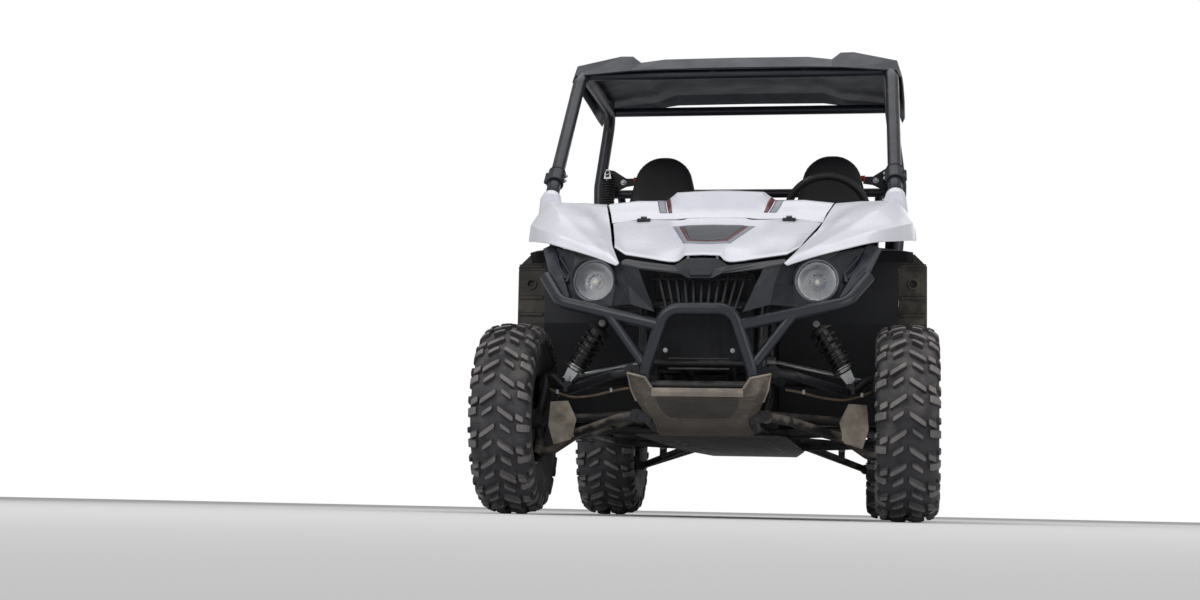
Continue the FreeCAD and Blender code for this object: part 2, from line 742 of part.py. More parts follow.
def front_frame():
    """The tube tower that carries the front arms, shocks, rack, radiator and nose."""
    foot_z = RAIL_Z + 10
    x, aft, z = FRONT_SHOCK[0]
    upper = [clevis(place, (TOWER_X, place[2]), BUSH_HALF_LENGTH) for place in FRONT_UPPER_BUSHES]
    side = upper + [
        tube(
            [
                (RAIL_X, FRONT_TOWER_FRONT, foot_z + 20), (TOWER_X, FRONT_TOWER_FRONT, 420),
                (TOWER_X, FRONT_TOWER_FRONT, 540), (TOWER_X, -180, TOWER_TOP_Z),
            ],
            TOWER_TUBE_RADIUS,
            50,
        ),
        tube(
            [
                (RAIL_X, FRONT_TOWER_BACK, foot_z), (TOWER_X, FRONT_TOWER_BACK, 420),
                (TOWER_X, FRONT_TOWER_BACK, 560), (TOWER_X, 200, TOWER_TOP_Z),
            ],
            TOWER_TUBE_RADIUS,
            50,
        ),
        bar((TOWER_X, -180, TOWER_TOP_Z), (TOWER_X, 330, TOWER_TOP_Z), TOWER_TUBE_RADIUS),
        bar((TOWER_X, 330, TOWER_TOP_Z), (RAIL_X, FOOTWELL_FRONT - 22, foot_z), TOWER_TUBE_RADIUS),
        bar((TOWER_X, aft, TOWER_TOP_Z), (x - 12, aft, TOWER_TOP_Z - 8), TOWER_TUBE_RADIUS - 1),
        clevis(FRONT_SHOCK[0], (x - 12, TOWER_TOP_Z - 8), EYE_HALF_LENGTH),
        hood_pin(),
    ]
    cross = [
        cross_bar(TOWER_X, -180, TOWER_TOP_Z, TOWER_TUBE_RADIUS - 2),
        cross_bar(TOWER_X, 330, TOWER_TOP_Z, TOWER_TUBE_RADIUS - 2),
        cross_bar(TOWER_X, FRONT_TOWER_FRONT, 500, TOWER_TUBE_RADIUS - 4),
        cross_bar(TOWER_X, FRONT_TOWER_BACK, RACK_Z - 30, TOWER_TUBE_RADIUS - 2),
    ]
    return joined([both(side)] + cross)


def hood_pin():
    """The left pin that the hood's tab turns on, on its post."""
    x, aft, z = HOOD_PIN_PLACE
    post = bar((x + 22, -180, TOWER_TOP_Z), (x + 22, aft, z), 7)
    return post.fuse(bar((x - 10, aft, z), (x + 22, aft, z), HOOD_PIN_RADIUS))


HITCH_Z = 545.0


def rear_frame():
    """The tube frame behind the cab that carries the rear arms, shocks and bed."""
    x, aft, z = REAR_SHOCK[0]
    foot_z = RAIL_Z + 10
    side = [
        tube(
            [
                (RAIL_X, CAB_REAR - 20, foot_z), (260, CAB_REAR + 10, 620),
                (BED_RAIL_X, CAB_REAR + 60, BED_RAIL_Z),
            ],
            BRACE_TUBE_RADIUS, 50,
        ),
        bar(
            (BED_RAIL_X, CAB_REAR + 40, BED_RAIL_Z), (BED_RAIL_X, BED_REAR - 20, BED_RAIL_Z),
            BRACE_TUBE_RADIUS,
        ),
        bar((RAIL_X, WHEELBASE + 270, 440), (BED_RAIL_X, BED_REAR - 60, BED_RAIL_Z), BRACE_TUBE_RADIUS),
        tube(
            [
                (RAIL_X, REAR_TOWER_AFT, foot_z),
                (TOWER_X, REAR_TOWER_AFT, 420),
                (TOWER_X, REAR_TOWER_AFT, 560),
                (BED_RAIL_X, REAR_TOWER_AFT, BED_RAIL_Z),
            ],
            TOWER_TUBE_RADIUS,
            50,
        ),
        clevis(REAR_SHOCK[0], (BED_RAIL_X, BED_RAIL_Z), EYE_HALF_LENGTH),
    ]
    side += [clevis(place, (TOWER_X, place[2]), BUSH_HALF_LENGTH) for place in REAR_UPPER_BUSHES]
    cross = [
        cross_bar(BED_RAIL_X, place, BED_RAIL_Z, BRACE_TUBE_RADIUS - 2)
        for place in (CAB_REAR + 60, REAR_TOWER_AFT, BED_REAR - 60)
    ]
    return joined([both(side)] + cross)


def bumper():
    """The tube brush guard: a centre loop, two wings and their struts."""
    x, aft, z = BUMPER_FOOT
    loop = tube(
        [(-x, aft, z), (-x, -335, 470), (-108, -352, 664), (108, -352, 664), (x, -335, 470), (x, aft, z)],
        BUMPER_TUBE_RADIUS,
        62,
    )
    wing = tube([(128, -346, 612), (466, -257, 697), (535, -168, 791)], BUMPER_TUBE_RADIUS, 70)
    strut = bar((300, -302, 655), (178, -334, 490), BUMPER_TUBE_RADIUS - 3)
    return joined([loop, both([wing, strut])])


def front_skid():
    """The bash plate under the nose, with a horn up each side of the loop."""
    # columns: middle, notch side, inner horn, outer edge
    table = [
        [(0, -50, 271), (110, -50, 271), (140, -50, 271), (160, -45, 276)],
        [(0, -240, 296), (120, -232, 296), (146, -215, 298), (168, -195, 306)],
        [(0, -330, 350), (130, -325, 350), (172, -308, 350), (204, -290, 372)],
        [(0, -360, 384), (140, -358, 382), (180, -345, 388), (220, -305, 410)],
        [(0, -362, 410), (146, -362, 410), (168, -362, 443), (229, -322, 460)],
    ]
    return panel(whole_width(table), SKID_WALL)


def belly_skid():
    """The flat plate under the middle of the vehicle."""
    top = RAIL_Z - FRAME_TUBE_RADIUS - SEAT_GAP
    # columns: half width, aft
    side = [(150, -30), (255, 70), (255, CAB_REAR - 150), (190, WHEELBASE + 150)]
    outline = [(-x, aft) for x, aft in side] + side[::-1]
    return level_plate(outline, top - SKID_WALL, top)


# Cage and roof

A_PILLAR_SHOULDER = (622.0, 341.0, 1148.0)
A_PILLAR_TOP = (611.0, 815.0, 1690.0)
ROOF_RAIL_Z = 1742.0
CLAMP_RADIUS = 31.0
CLAMP_LENGTH = 60.0
CLAMP_HEIGHT_SHARE = 0.165
B_PILLAR_WAIST = (646.0, CAB_REAR - 50, 1250.0)


def cage_side(radius):
    """The left side of the cage: A pillar, roof rail and B pillar in one bent tube."""
    sill_top = SILL_Z + FRAME_TUBE_RADIUS
    return tube(
        [
            (SILL_X, CAGE_FOOT_FRONT + 70, sill_top - 8),
            (SILL_X + 20, CAGE_FOOT_FRONT, 560),
            (606, CAGE_FOOT_FRONT - 20, 900),
            A_PILLAR_SHOULDER,
            A_PILLAR_TOP,
            (598, 880, ROOF_RAIL_Z),
            (606, CAB_REAR - 30, ROOF_RAIL_Z + 12),
            (650, CAB_REAR - 40, 1420),
            B_PILLAR_WAIST,
            (602, CAB_REAR - 70, 760),
            (SILL_X, CAGE_FOOT_REAR, sill_top - 8),
        ],
        radius,
        CAGE_BEND,
    )


def pillar_clamp():
    """The split clamp that joins the left front pillar's two tubes, with its bolted ear."""
    shoulder, top = at(*A_PILLAR_SHOULDER), at(*A_PILLAR_TOP)
    along = top - shoulder
    middle = shoulder + along * CLAMP_HEIGHT_SHARE
    along.normalize()
    half = along * CLAMP_LENGTH / 2
    ear = rod(middle - half * 0.8, middle + half * 0.8, 9)
    ear.translate(Vector(CLAMP_RADIUS + 3, 0, 0))
    pieces = [rod(middle - half, middle + half, CLAMP_RADIUS), ear]
    for share in (-0.5, 0.5):
        place = middle + half * share + Vector(CLAMP_RADIUS + 3, 0, 0)
        pieces.append(rod(place - Vector(0, 15, 0), place + Vector(0, 15, 0), 6))
    return joined(pieces)


def door_hinge_arm(z):
    """The left hinge's arm from the B pillar, with its upright pin."""
    aft = DOOR_REAR + DOOR_PIN_SETBACK
    foot = (600, CAB_REAR - 78, z - 20.5)
    arm = bar(foot, (DOOR_PIN_X, aft, z - 20.5), 6)
    disc = bar((DOOR_PIN_X, aft, z - 25), (DOOR_PIN_X, aft, z - 14), 9)
    pin = bar((DOOR_PIN_X, aft, z - 20), (DOOR_PIN_X, aft, z + 18), 5)
    return joined([arm, disc, pin])


DOOR_HINGE_HEIGHTS = (560.0, 860.0)


def cage_cross(sides):
    """The cross tubes of the cage and the braces down to the bed."""
    brace = tube(
        [
            (560, BELT_BAR, 1395), (BED_HALF_WIDTH - 25, CAB_REAR + 175, 1130),
            (BED_HALF_WIDTH - 25, CAB_REAR + 175, BED_FLOOR_Z + MOULDING_WALL),
        ],
        BRACE_TUBE_RADIUS,
        60,
    )
    pieces = [
        cross_bar(598, 880, ROOF_RAIL_Z - 4, CROSS_TUBE_RADIUS),
        cross_bar(606, CAB_REAR - 60, ROOF_RAIL_Z + 8, CROSS_TUBE_RADIUS),
        cross_bar(640, BELT_BAR, 1395, CROSS_TUBE_RADIUS),
        brace,
        mirrored(brace),
    ]
    return loose([piece for piece in joined(pieces).cut(sides).Solids if piece.Volume > 1e5])


ROOF_TABLE = [
    # columns: middle, middle edge, dip, pod inner, pod outer, corner, skirt
    [
        (0, 838, 1754), (283, 838, 1752), (378, 832, 1748), (411, 830, 1746), (462, 828, 1742),
        (628, 828, 1728), (640, 828, 1706),
    ],
    [
        (0, 915, 1812), (283, 915, 1810), (378, 905, 1796), (411, 905, 1822), (462, 925, 1828),
        (630, 874, 1778), (650, 872, 1712),
    ],
    [
        (0, 1050, 1838), (283, 1050, 1836), (378, 1050, 1812), (405, 1050, 1812), (462, 1050, 1812),
        (634, 1050, 1784), (656, 1050, 1724),
    ],
    [
        (0, 1350, 1846), (300, 1350, 1844), (390, 1350, 1816), (420, 1350, 1814), (480, 1350, 1810),
        (642, 1350, 1788), (664, 1350, 1728),
    ],
    [
        (0, 1630, 1840), (320, 1630, 1838), (400, 1640, 1812), (430, 1650, 1808), (490, 1650, 1804),
        (646, 1650, 1786), (668, 1650, 1722),
    ],
    [
        (0, 1710, 1812), (320, 1710, 1810), (400, 1700, 1796), (430, 1695, 1790), (490, 1695, 1784),
        (640, 1690, 1766), (660, 1690, 1712),
    ],
]


def roof(sides):
    """The moulded roof with a pod at each front corner, on pads over the roof rails."""
    table = whole_width(ROOF_TABLE)
    skin = panel(table, MOULDING_WALL)
    above = panel(table, -40)
    pads = [bar((600, aft, ROOF_RAIL_Z + 10), (600, aft, 1817), 22).cut(above) for aft in (1000, 1280, 1520)]
    return joined([skin, both(pads)]).cut(sides)


# Front body

HOOD_TABLE = [
    # columns: middle, plinth corner, low point, outer edge, corner
    [(0, -275, 852), (58, -273, 850), (92, -279, 828), (190, -216, 849), (268, -163, 868), (311, -129, 899)],
    [(0, -150, 906), (66, -150, 904), (100, -160, 893), (205, -120, 893), (285, -90, 905), (321, -60, 930)],
    [(0, 20, 975), (84, 20, 973), (118, 10, 966), (220, 20, 962), (300, 40, 968), (341, 50, 973)],
    [
        (0, 202, 1051), (102, 202, 1049), (132, 202, 1043), (235, 200, 1045), (330, 196, 1039),
        (367, 192, 1029),
    ],
]


def hood():
    """The panel between the fenders, which tips forward on two tabs."""
    table = whole_width(HOOD_TABLE)
    skin = panel(table, PANEL_WALL)
    above = panel(table, -60)
    x, aft, z = HOOD_PIN_PLACE
    tab = side_plate([(aft - 8, z - 4), (aft - 2, 880), (aft + 44, 880), (aft + 8, z - 4)], x - 4, x + 4)
    barrel = bar((x - 4, aft, z), (x + 4, aft, z), HOOD_PIN_RADIUS + 6)
    bore = bar((x - 5, aft, z), (x + 5, aft, z), HOOD_PIN_RADIUS + RUNNING_GAP)
    tab = tab.cut(above).fuse(barrel).cut(bore)
    return joined([skin, tab, mirrored(tab)])


def cowl():
    """The fixed panel behind the hood, with a raised hump and a lip down to the dashboard."""
    lip_front = DASH_FRONT - PANEL_WALL - SEAT_GAP
    # columns: middle, hump edge, hump foot, flat, seam
    table = [
        [(0, 210, 1053), (110, 210, 1052), (146, 210, 1048), (270, 208, 1048), (372, 202, 1033)],
        [(0, 250, 1085), (120, 250, 1082), (175, 250, 1078), (280, 250, 1080), (384, 245, 1072)],
        [(0, 290, 1160), (150, 296, 1157), (188, 300, 1108), (290, 300, 1110), (398, 298, 1104)],
        [(0, 345, 1174), (158, 350, 1168), (196, 350, 1138), (300, 345, 1138), (406, 342, 1126)],
        [
            (0, lip_front + 1, 1176), (160, lip_front + 1, 1170), (200, lip_front + 1, 1142),
            (300, lip_front + 1, 1142), (407, lip_front + 1, 1130),
        ],
    ]
    # columns: x, z
    side = [(160, 1168), (200, 1140), (300, 1140), (405, 1128), (405, 1100)]
    outline = side + [(-x, z) for x, z in side[::-1]]
    lip = cross_plate(outline, lip_front, DASH_FRONT - SEAT_GAP)
    return panel(whole_width(table), PANEL_WALL).fuse(lip)


FENDER_TABLE = [
    # columns: inner seam, crease, ridge, side line, lower edge
    [(268, -306, 819), (270, -308, 818), (273, -309, 816), (276, -309, 814), (279, -308, 811)],
    [(294, -214, 862), (312, -228, 866), (335, -235, 866), (350, -240, 858), (361, -243, 849)],
    [(318, -129, 903), (338, -120, 912), (390, -130, 918), (430, -160, 905), (452, -178, 883)],
    [(348, 30, 965), (392, 10, 975), (470, 0, 985), (535, -50, 955), (545, -90, 918)],
    [(364, 115, 1000), (440, 130, 1042), (550, 130, 1055), (628, 110, 1002), (622, 90, 948)],
    [(393, 240, 1075), (478, 260, 1098), (610, 250, 1118), (676, 250, 1035), (682, 248, 975)],
    [(413, 335, 1123), (500, 335, 1130), (640, 330, 1130), (690, 340, 1040), (694, 345, 973)],
    [(414, 425, 1128), (500, 428, 1128), (640, 428, 1120), (694, 428, 1035), (698, 428, 970)],
]


def front_fender(pillar_clear):
    """The left front fender, from its point by the lamp back to the door."""
    skin = panel(FENDER_TABLE, PANEL_WALL)
    boss = block((580, 652), (285, 392), (1112, 1146))
    return joined([skin, boss]).cut(pillar_clear)


def fascia():
    """The black nose moulding: the bar under the hood, grille pillars, lamp buckets and struts."""
    # columns: middle, plinth side, grille corner, pillar front, pillar top
    bar_table = [
        [(0, -325, 768), (40, -325, 768), (66, -324, 782), (206, -321, 802), (262, -289, 817)],
        [(0, -318, 800), (46, -318, 798), (72, -322, 790), (200, -275, 818), (270, -225, 838)],
        [(0, -291, 838), (50, -291, 836), (88, -296, 812), (190, -232, 833), (262, -181, 850)],
    ]
    # columns: grille edge, pillar, lamp inner, lamp outer, strut
    side_table = [
        [(142, -368, 653), (225, -325, 682), (300, -245, 684), (430, -225, 690), (480, -215, 704)],
        [(175, -345, 730), (235, -300, 745), (290, -215, 765), (448, -170, 780), (540, -95, 835)],
        [(206, -317, 805), (258, -285, 820), (306, -215, 840), (440, -150, 876), (560, -20, 918)],
    ]
    x, aft, z = HEADLIGHT_PLACE
    inside = HEADLIGHT_RADIUS + SEAT_GAP
    side = panel(side_table, MOULDING_WALL).cut(bar((x, aft - 200, z), (x, aft + 200, z), inside + 2))
    bucket = ring(at(x, aft - 45, z), at(x, aft + 58, z), inside + MOULDING_WALL, inside)
    back = ring(at(x, aft + 50 + SEAT_GAP, z), at(x, aft + 58, z), inside + 1, 30)
    stay = side_plate([(-350, 700), (-350, 735), (-185, 715), (-185, 690)], 200, 206)
    stay = stay.cut(panel(side_table, -60))
    return joined([panel(whole_width(bar_table), MOULDING_WALL), both([side, bucket, back, stay])])


def grille(around):
    """The recessed grille: upright ribs on three rails, the middle one up to the nose's stays."""
    # columns: share of the half width
    shares = (-1, -0.66, -0.33, 0, 0.33, 0.66, 1)
    pieces = [cross_bar(196, -262, 786, 7), cross_bar(150, -290, 668, 7), cross_bar(200, -279, 712, 7)]
    pieces += [bar((172 * share, -262, 786), (132 * share, -290, 668), 6) for share in shares]
    side = bar((205, -262, 786), (150, -290, 668), 7)
    return loose([max(joined(pieces + [both([side])]).cut(around).Solids, key=lambda solid: solid.Volume)])


def radiator():
    """The radiator behind the grille, against the tower's top cross tube."""
    front = -180 + TOWER_TUBE_RADIUS - 2 + SEAT_GAP
    return block((-160, 160), (front, front + 45), (500, 805))


def headlights():
    """Both round lamps."""
    x, aft, z = HEADLIGHT_PLACE
    profile = [(-24, 0), (-24, 50), (-16, 64), (-6, HEADLIGHT_RADIUS), (50, HEADLIGHT_RADIUS), (50, 0)]
    return pair(spun(profile, at(x, aft, z), Vector(0, 1, 0)))


# columns: aft, z
LINER_LINE = [
    (329, 938),
    (333, 690),
    (363, 560),
    (386, 430),
    (FOOTWELL_FRONT - SEAT_GAP - MOULDING_WALL, FLOOR_Z + 10),
]
LINER_OUTER_X = 634.0
FLARE_OUTER_X = 733.0
FLARE_HOLE = (684.0, 831.0)
FLARE_HOLE_RADIUS = 13.0
FLARE_CORNER = 45.0
FLARE_SPLITS = (880.0, 770.0, 700.0)


def liner():
    """The left inner liner between the tower and the footwell."""
    inner_x = TOWER_X + TOWER_TUBE_RADIUS + 4
    return side_plate(strip(LINER_LINE, -MOULDING_WALL), inner_x, LINER_OUTER_X)


def flare():
    """The left mud flare outboard of the liner."""
    face = side_plate(strip(LINER_LINE, -MOULDING_WALL), LINER_OUTER_X + SEAT_GAP, FLARE_OUTER_X)
    back = DOOR_FRONT - 26
    outline = LINER_LINE + [(back, LINER_LINE[-1][1]), (back, LINER_LINE[0][1])]
    solid = face.fuse(side_plate(outline, FLARE_OUTER_X - MOULDING_WALL, FLARE_OUTER_X))
    front, top = LINER_LINE[0]
    x, z = FLARE_HOLE
    solid = solid.cut(bar((x, front - 10, z), (x, front + 10, z), FLARE_HOLE_RADIUS))
    for height in FLARE_SPLITS:
        solid = solid.cut(
            block((x - 30, FLARE_OUTER_X + 1), (front - 10, front + 3), (height - 2, height + 2))
        )
    corner = [
        (FLARE_OUTER_X - FLARE_CORNER, top + 1), (FLARE_OUTER_X + 1, top + 1),
        (FLARE_OUTER_X + 1, top - FLARE_CORNER),
    ]
    return solid.cut(cross_plate(corner, front - 10, back + 1))


# Cab


def floor(cage_clear):
    """The moulded floor: a tub with side lips, a tunnel and a footwell wall."""
    front = FOOTWELL_FRONT
    low = FLOOR_Z
    # columns: aft, z
    top_front = DASH_FRONT - MOULDING_WALL - SEAT_GAP
    line = [(RISER_FRONT - SEAT_GAP, low), (front, low), (front, 660), (top_front, 840), (top_front, 940)]
    pan = side_plate(strip(line, MOULDING_WALL), -FOOTWELL_HALF_WIDTH, FOOTWELL_HALF_WIDTH)
    lip = cross_plate(
        strip(
            [(FOOTWELL_HALF_WIDTH - 1, low), (TUB_HALF_WIDTH, low), (TUB_HALF_WIDTH, SILL_TOP_Z)],
            -MOULDING_WALL,
        ),
        front,
        RISER_FRONT - SEAT_GAP,
    )
    tunnel = cross_plate(
        strip([(-135, low + 2), (-120, 500), (120, 500), (135, low + 2)], MOULDING_WALL),
        front + 1,
        RISER_FRONT - SEAT_GAP,
    )
    return joined([pan, both([lip]), tunnel]).cut(cage_clear)


def rocker():
    """The left rocker panel under the door."""
    inner = TUB_HALF_WIDTH + SEAT_GAP
    section = [(inner, 436), (inner, SILL_TOP_Z), (686, SILL_TOP_Z), (690, 400), (668, 318), (640, 302)]
    return cross_plate(strip(section, MOULDING_WALL), DOOR_FRONT, DOOR_REAR)


def dashboard(column_clear):
    """The dashboard across the cab, open to the front."""
    # columns: aft, z
    line = [
        (DASH_FRONT, 1122), (500, 1122), (600, 1110), (640, 1060), (612, 930), (560, 846),
        (DASH_FRONT, 846),
    ]
    shell = side_plate(strip(line, MOULDING_WALL), -DASH_HALF_WIDTH, DASH_HALF_WIDTH)
    cheek = side_plate(line, DASH_HALF_WIDTH - MOULDING_WALL, DASH_HALF_WIDTH)
    return joined([shell, both([cheek])]).cut(column_clear)


def seat_riser():
    """The moulded box under the seats, open at the back and below."""
    # columns: aft, z
    line = [(RISER_FRONT, FLOOR_Z), (RISER_FRONT, RISER_TOP_Z), (RISER_REAR, RISER_TOP_Z)]
    shell = side_plate(strip(line, MOULDING_WALL), -600, 600)
    cheek = side_plate(line + [(RISER_REAR, FLOOR_Z)], 600 - MOULDING_WALL, 600)
    return joined([shell, both([cheek])])


def seat_cushion():
    """The left seat's cushion."""
    return block(
        (SEAT_X - CUSHION_HALF_WIDTH, SEAT_X + CUSHION_HALF_WIDTH),
        (RISER_FRONT + 10, RISER_REAR - 5),
        (CUSHION_TOP_Z - CUSHION_THICKNESS, CUSHION_TOP_Z),
    )


def seat_back():
    """The left seat's back and head restraint in one."""
    # columns: height along the back, half width
    profile = [(0, 200), (330, 212), (520, 178), (640, 150), (745, 128)]
    lean = math.radians(BACK_LEAN_DEG)
    foot = at(SEAT_X, BACK_FOOT, CUSHION_TOP_Z + SEAT_GAP)
    up, across = Vector(0, math.sin(lean), math.cos(lean)), Vector(1, 0, 0)
    right = [foot + up * height - across * half for height, half in profile]
    left = [foot + up * height + across * half for height, half in profile[::-1]]
    arc = Part.Arc(right[-1], foot + up * 868, left[0]).toShape()
    wire = Part.Wire(Part.__sortEdges__(Part.makePolygon(left + right).Edges + [arc]))
    return Part.Face(wire).extrude(Vector(0, BACK_THICKNESS, 0))


def column_axis():
    """The steering wheel's middle and the direction of its shaft, towards the driver."""
    tilt = math.radians(STEERING_TILT_DEG)
    return at(*STEERING_WHEEL_PLACE), Vector(0, math.cos(tilt), math.sin(tilt))


def steering_wheel():
    """The steering wheel with its hub, three spokes and short shaft."""
    centre, axis = column_axis()
    side = Vector(1, 0, 0)
    up = side.cross(axis)
    reach = STEERING_WHEEL_RADIUS - STEERING_GRIP_RADIUS
    pieces = [
        Part.makeTorus(reach, STEERING_GRIP_RADIUS, centre, axis),
        rod(centre - axis * 35, centre - axis * 5, 42),
        rod(centre - axis * 150, centre - axis * 20, STEERING_SHAFT_RADIUS),
    ]
    for turn in (0, 180, 270):
        out = side * math.cos(math.radians(turn)) + up * math.sin(math.radians(turn))
        pieces.append(rod(centre - axis * 18, centre + out * reach, 10))
    return joined(pieces)


def column_sleeve(radius):
    """A round bar along the steering column, from the dashboard to behind the wheel."""
    centre, axis = column_axis()
    return rod(centre - axis * 440, centre - axis * 62, radius)


def steering_column():
    """The jacket that the steering wheel's shaft turns in."""
    return column_sleeve(COLUMN_RADIUS).cut(column_sleeve(STEERING_SHAFT_RADIUS + RUNNING_GAP))


def door():
    """The left half door: a hollow-backed moulding with its hinge barrels."""
    rear = DOOR_REAR
    # columns: aft, z
    outline = [
        (DOOR_FRONT, 470), (rear, 470), (rear, 985), (rear - 215, 985), (rear - 420, 915),
        (DOOR_FRONT, 940),
    ]
    inner_x = DOOR_OUTER_X - DOOR_THICKNESS
    skin = side_plate(outline, inner_x, DOOR_OUTER_X)
    recess = [
        (DOOR_FRONT + 40, 520), (rear - 45, 520), (rear - 45, 930), (rear - 230, 930), (rear - 430, 862),
        (DOOR_FRONT + 40, 885),
    ]
    solid = skin.cut(side_plate(recess, inner_x - 1, DOOR_OUTER_X - 10))
    pin_aft = rear + DOOR_PIN_SETBACK
    for z in DOOR_HINGE_HEIGHTS:
        tongue = block((DOOR_OUTER_X - 8, DOOR_PIN_X), (rear - 6, pin_aft), (z - 13, z + 13))
        barrel = bar((DOOR_PIN_X, pin_aft, z - 13), (DOOR_PIN_X, pin_aft, z + 13), 9)
        bore = bar((DOOR_PIN_X, pin_aft, z - 14), (DOOR_PIN_X, pin_aft, z + 14), 5 + RUNNING_GAP)
        solid = solid.fuse(tongue).fuse(barrel).cut(bore)
    return solid


# Rear body


def rear_fender(pillar_clear):
    """The left rear fender over the wheel."""
    front = DOOR_REAR + 32
    inner = BED_HALF_WIDTH + SEAT_GAP
    top = BED_WALL_TOP_Z
    # columns: aft, inner edge x, shoulder x, side x, lower edge x, lower edge z
    stations = [
        (front, 592, 640, 692, 694, 640),
        (WHEELBASE - 420, 580, 650, 700, 704, 690),
        (WHEELBASE - 325, inner, 652, 702, 707, 770),
        (WHEELBASE - 200, inner, 655, 705, 710, 860),
        (WHEELBASE, inner, 655, 705, 712, 905),
        (WHEELBASE + 220, inner, 652, 702, 708, 860),
        (BED_REAR + 10, inner, 640, 684, 688, 760),
    ]
    table = [
        [(inside, aft, top), (shoulder, aft, top - 6), (side, aft, top - 64), (low_x, aft, low_z)]
        for aft, inside, shoulder, side, low_x, low_z in stations
    ]
    return panel(table, PANEL_WALL).cut(pillar_clear)


def cargo_bed(braces):
    """The load bed: floor, side walls, front wall and a lower tail wall."""
    half, low = BED_HALF_WIDTH, BED_FLOOR_Z
    tray = block((-half, half), (BED_FRONT, BED_REAR), (low, BED_WALL_TOP_Z))
    wall = MOULDING_WALL
    hollow = block(
        (-half + wall, half - wall), (BED_FRONT + wall, BED_REAR - wall),
        (low + wall, BED_WALL_TOP_Z + 1),
    )
    dip = block(
        (-half + 60, half - 60), (BED_REAR - wall - 1, BED_REAR + 1),
        (BED_TAIL_TOP_Z, BED_WALL_TOP_Z + 1),
    )
    return tray.cut(hollow).cut(dip).cut(braces)


def tail_panel():
    """The black panel across the back under the bed's tail wall."""
    # columns: x, z
    half = BED_HALF_WIDTH + 120
    outline = [(-half, 1000), (-half, 800), (-420, 730), (420, 730), (half, 800), (half, 1000)]
    rear = BED_REAR + 10 + SEAT_GAP
    holes = [block((x - 46, x + 46), (rear - 1, rear + 30), (862, 958)) for x in (-600, 600)]
    solid = cross_plate(outline, rear, rear + 14)
    for hole in holes:
        solid = solid.cut(hole)
    spacer = block((-400, 400), (BED_REAR + SEAT_GAP, rear + 1), (900, 960))
    return solid.fuse(spacer)


def tail_lights():
    """Both tail lamps in their holes."""
    rear = BED_REAR + 10 + SEAT_GAP
    half = 46 - SEAT_GAP
    return pair(block((600 - half, 600 + half), (rear, rear + 24), (910 - half, 910 + half)))


def rear_bumper():
    """The tube across the tail with the tow receiver under it."""
    aft = TAIL - BUMPER_TUBE_RADIUS
    return tube(
        [(-470, aft - 70, HITCH_Z), (-400, aft, HITCH_Z), (400, aft, HITCH_Z), (470, aft - 70, HITCH_Z)],
        BUMPER_TUBE_RADIUS,
        60,
    )


def hitch():
    """The square tow receiver with its cross pin hole."""
    aft = TAIL - 24
    outside = block((-32, 32), (aft - 150, aft), (HITCH_Z - 84 - SEAT_GAP, HITCH_Z - 20 - SEAT_GAP))
    inside = block(
        (-25.5, 25.5), (aft - 151, aft + 1), (HITCH_Z - 77.5 - SEAT_GAP, HITCH_Z - 26.5 - SEAT_GAP),
    )
    pin = bar((-33, aft - 45, HITCH_Z - 52), (33, aft - 45, HITCH_Z - 52), 8)
    return outside.cut(inside).cut(pin)


def rear_arms():
    """The left rear upper link and lower wishbone."""
    upper = joined(
        [
            bar(REAR_UPPER_BUSHES[0], REAR_OUTER_TOP, ARM_TUBE_RADIUS), bush(REAR_UPPER_BUSHES[0]),
            bush(REAR_OUTER_TOP),
        ]
    )
    lower = joined(
        [bar(place, REAR_OUTER_BOTTOM, ARM_TUBE_RADIUS) for place in REAR_LOWER_BUSHES]
        + [bush(place) for place in REAR_LOWER_BUSHES + [REAR_OUTER_BOTTOM]]
        + [clevis(REAR_SHOCK[1], (REAR_SHOCK_FOOT_X, 262), EYE_HALF_LENGTH)]
    )
    return [
        bored(upper, REAR_UPPER_BUSHES + [REAR_OUTER_TOP], BUSH_HALF_LENGTH),
        bored(lower, REAR_LOWER_BUSHES + [REAR_OUTER_BOTTOM], BUSH_HALF_LENGTH),
    ]


def rear_carrier():
    """The left rear hub carrier with its spindle."""
    centre = wheel_centre(True)
    x = centre.x - UPRIGHT_INSET - 34
    pieces = [
        block((x, x + 34), (WHEELBASE - 28, WHEELBASE + 28), (252, 404)),
        rod(centre - Vector(UPRIGHT_INSET + 34, 0, 0), centre - Vector(UPRIGHT_INSET, 0, 0), 40),
        rod(centre - Vector(UPRIGHT_INSET, 0, 0), centre + Vector(SPINDLE_REACH, 0, 0), SPINDLE_RADIUS),
        clevis(REAR_OUTER_TOP, (x + 20, 392), BUSH_HALF_LENGTH),
        clevis(REAR_OUTER_BOTTOM, (x + 20, 264), BUSH_HALF_LENGTH),
    ]
    return joined(pieces)


def engine():
    """The engine and gearbox, as one plain block on the rails."""
    low = RAIL_Z + FRAME_TUBE_RADIUS + SEAT_GAP
    crank = block((-160, 160), (RISER_FRONT + 70, CAB_REAR - 60), (low, 470))
    head = block((-130, 130), (RISER_FRONT + 120, CAB_REAR - 150), (469, RISER_TOP_Z - 25))
    return crank.fuse(head)


def exhaust(frame_legs):
    """The muffler across the back, with its tail pipe."""
    aft, z = BED_REAR - 130, 690
    can = spun([(0, 0), (0, 60), (12, 72), (408, 72), (420, 60), (420, 0)], at(-210, aft, z), Vector(1, 0, 0))
    pipe = tube([(150, aft, z), (200, aft + 10, z), (218, aft + 90, z - 8), (218, aft + 170, z - 14)], 18, 50)
    hangers = [bar((x, aft, z + 60), (x, BED_REAR - 60, BED_RAIL_Z), 8) for x in (-120, 120)]
    return joined([can, pipe] + hangers).cut(frame_legs)


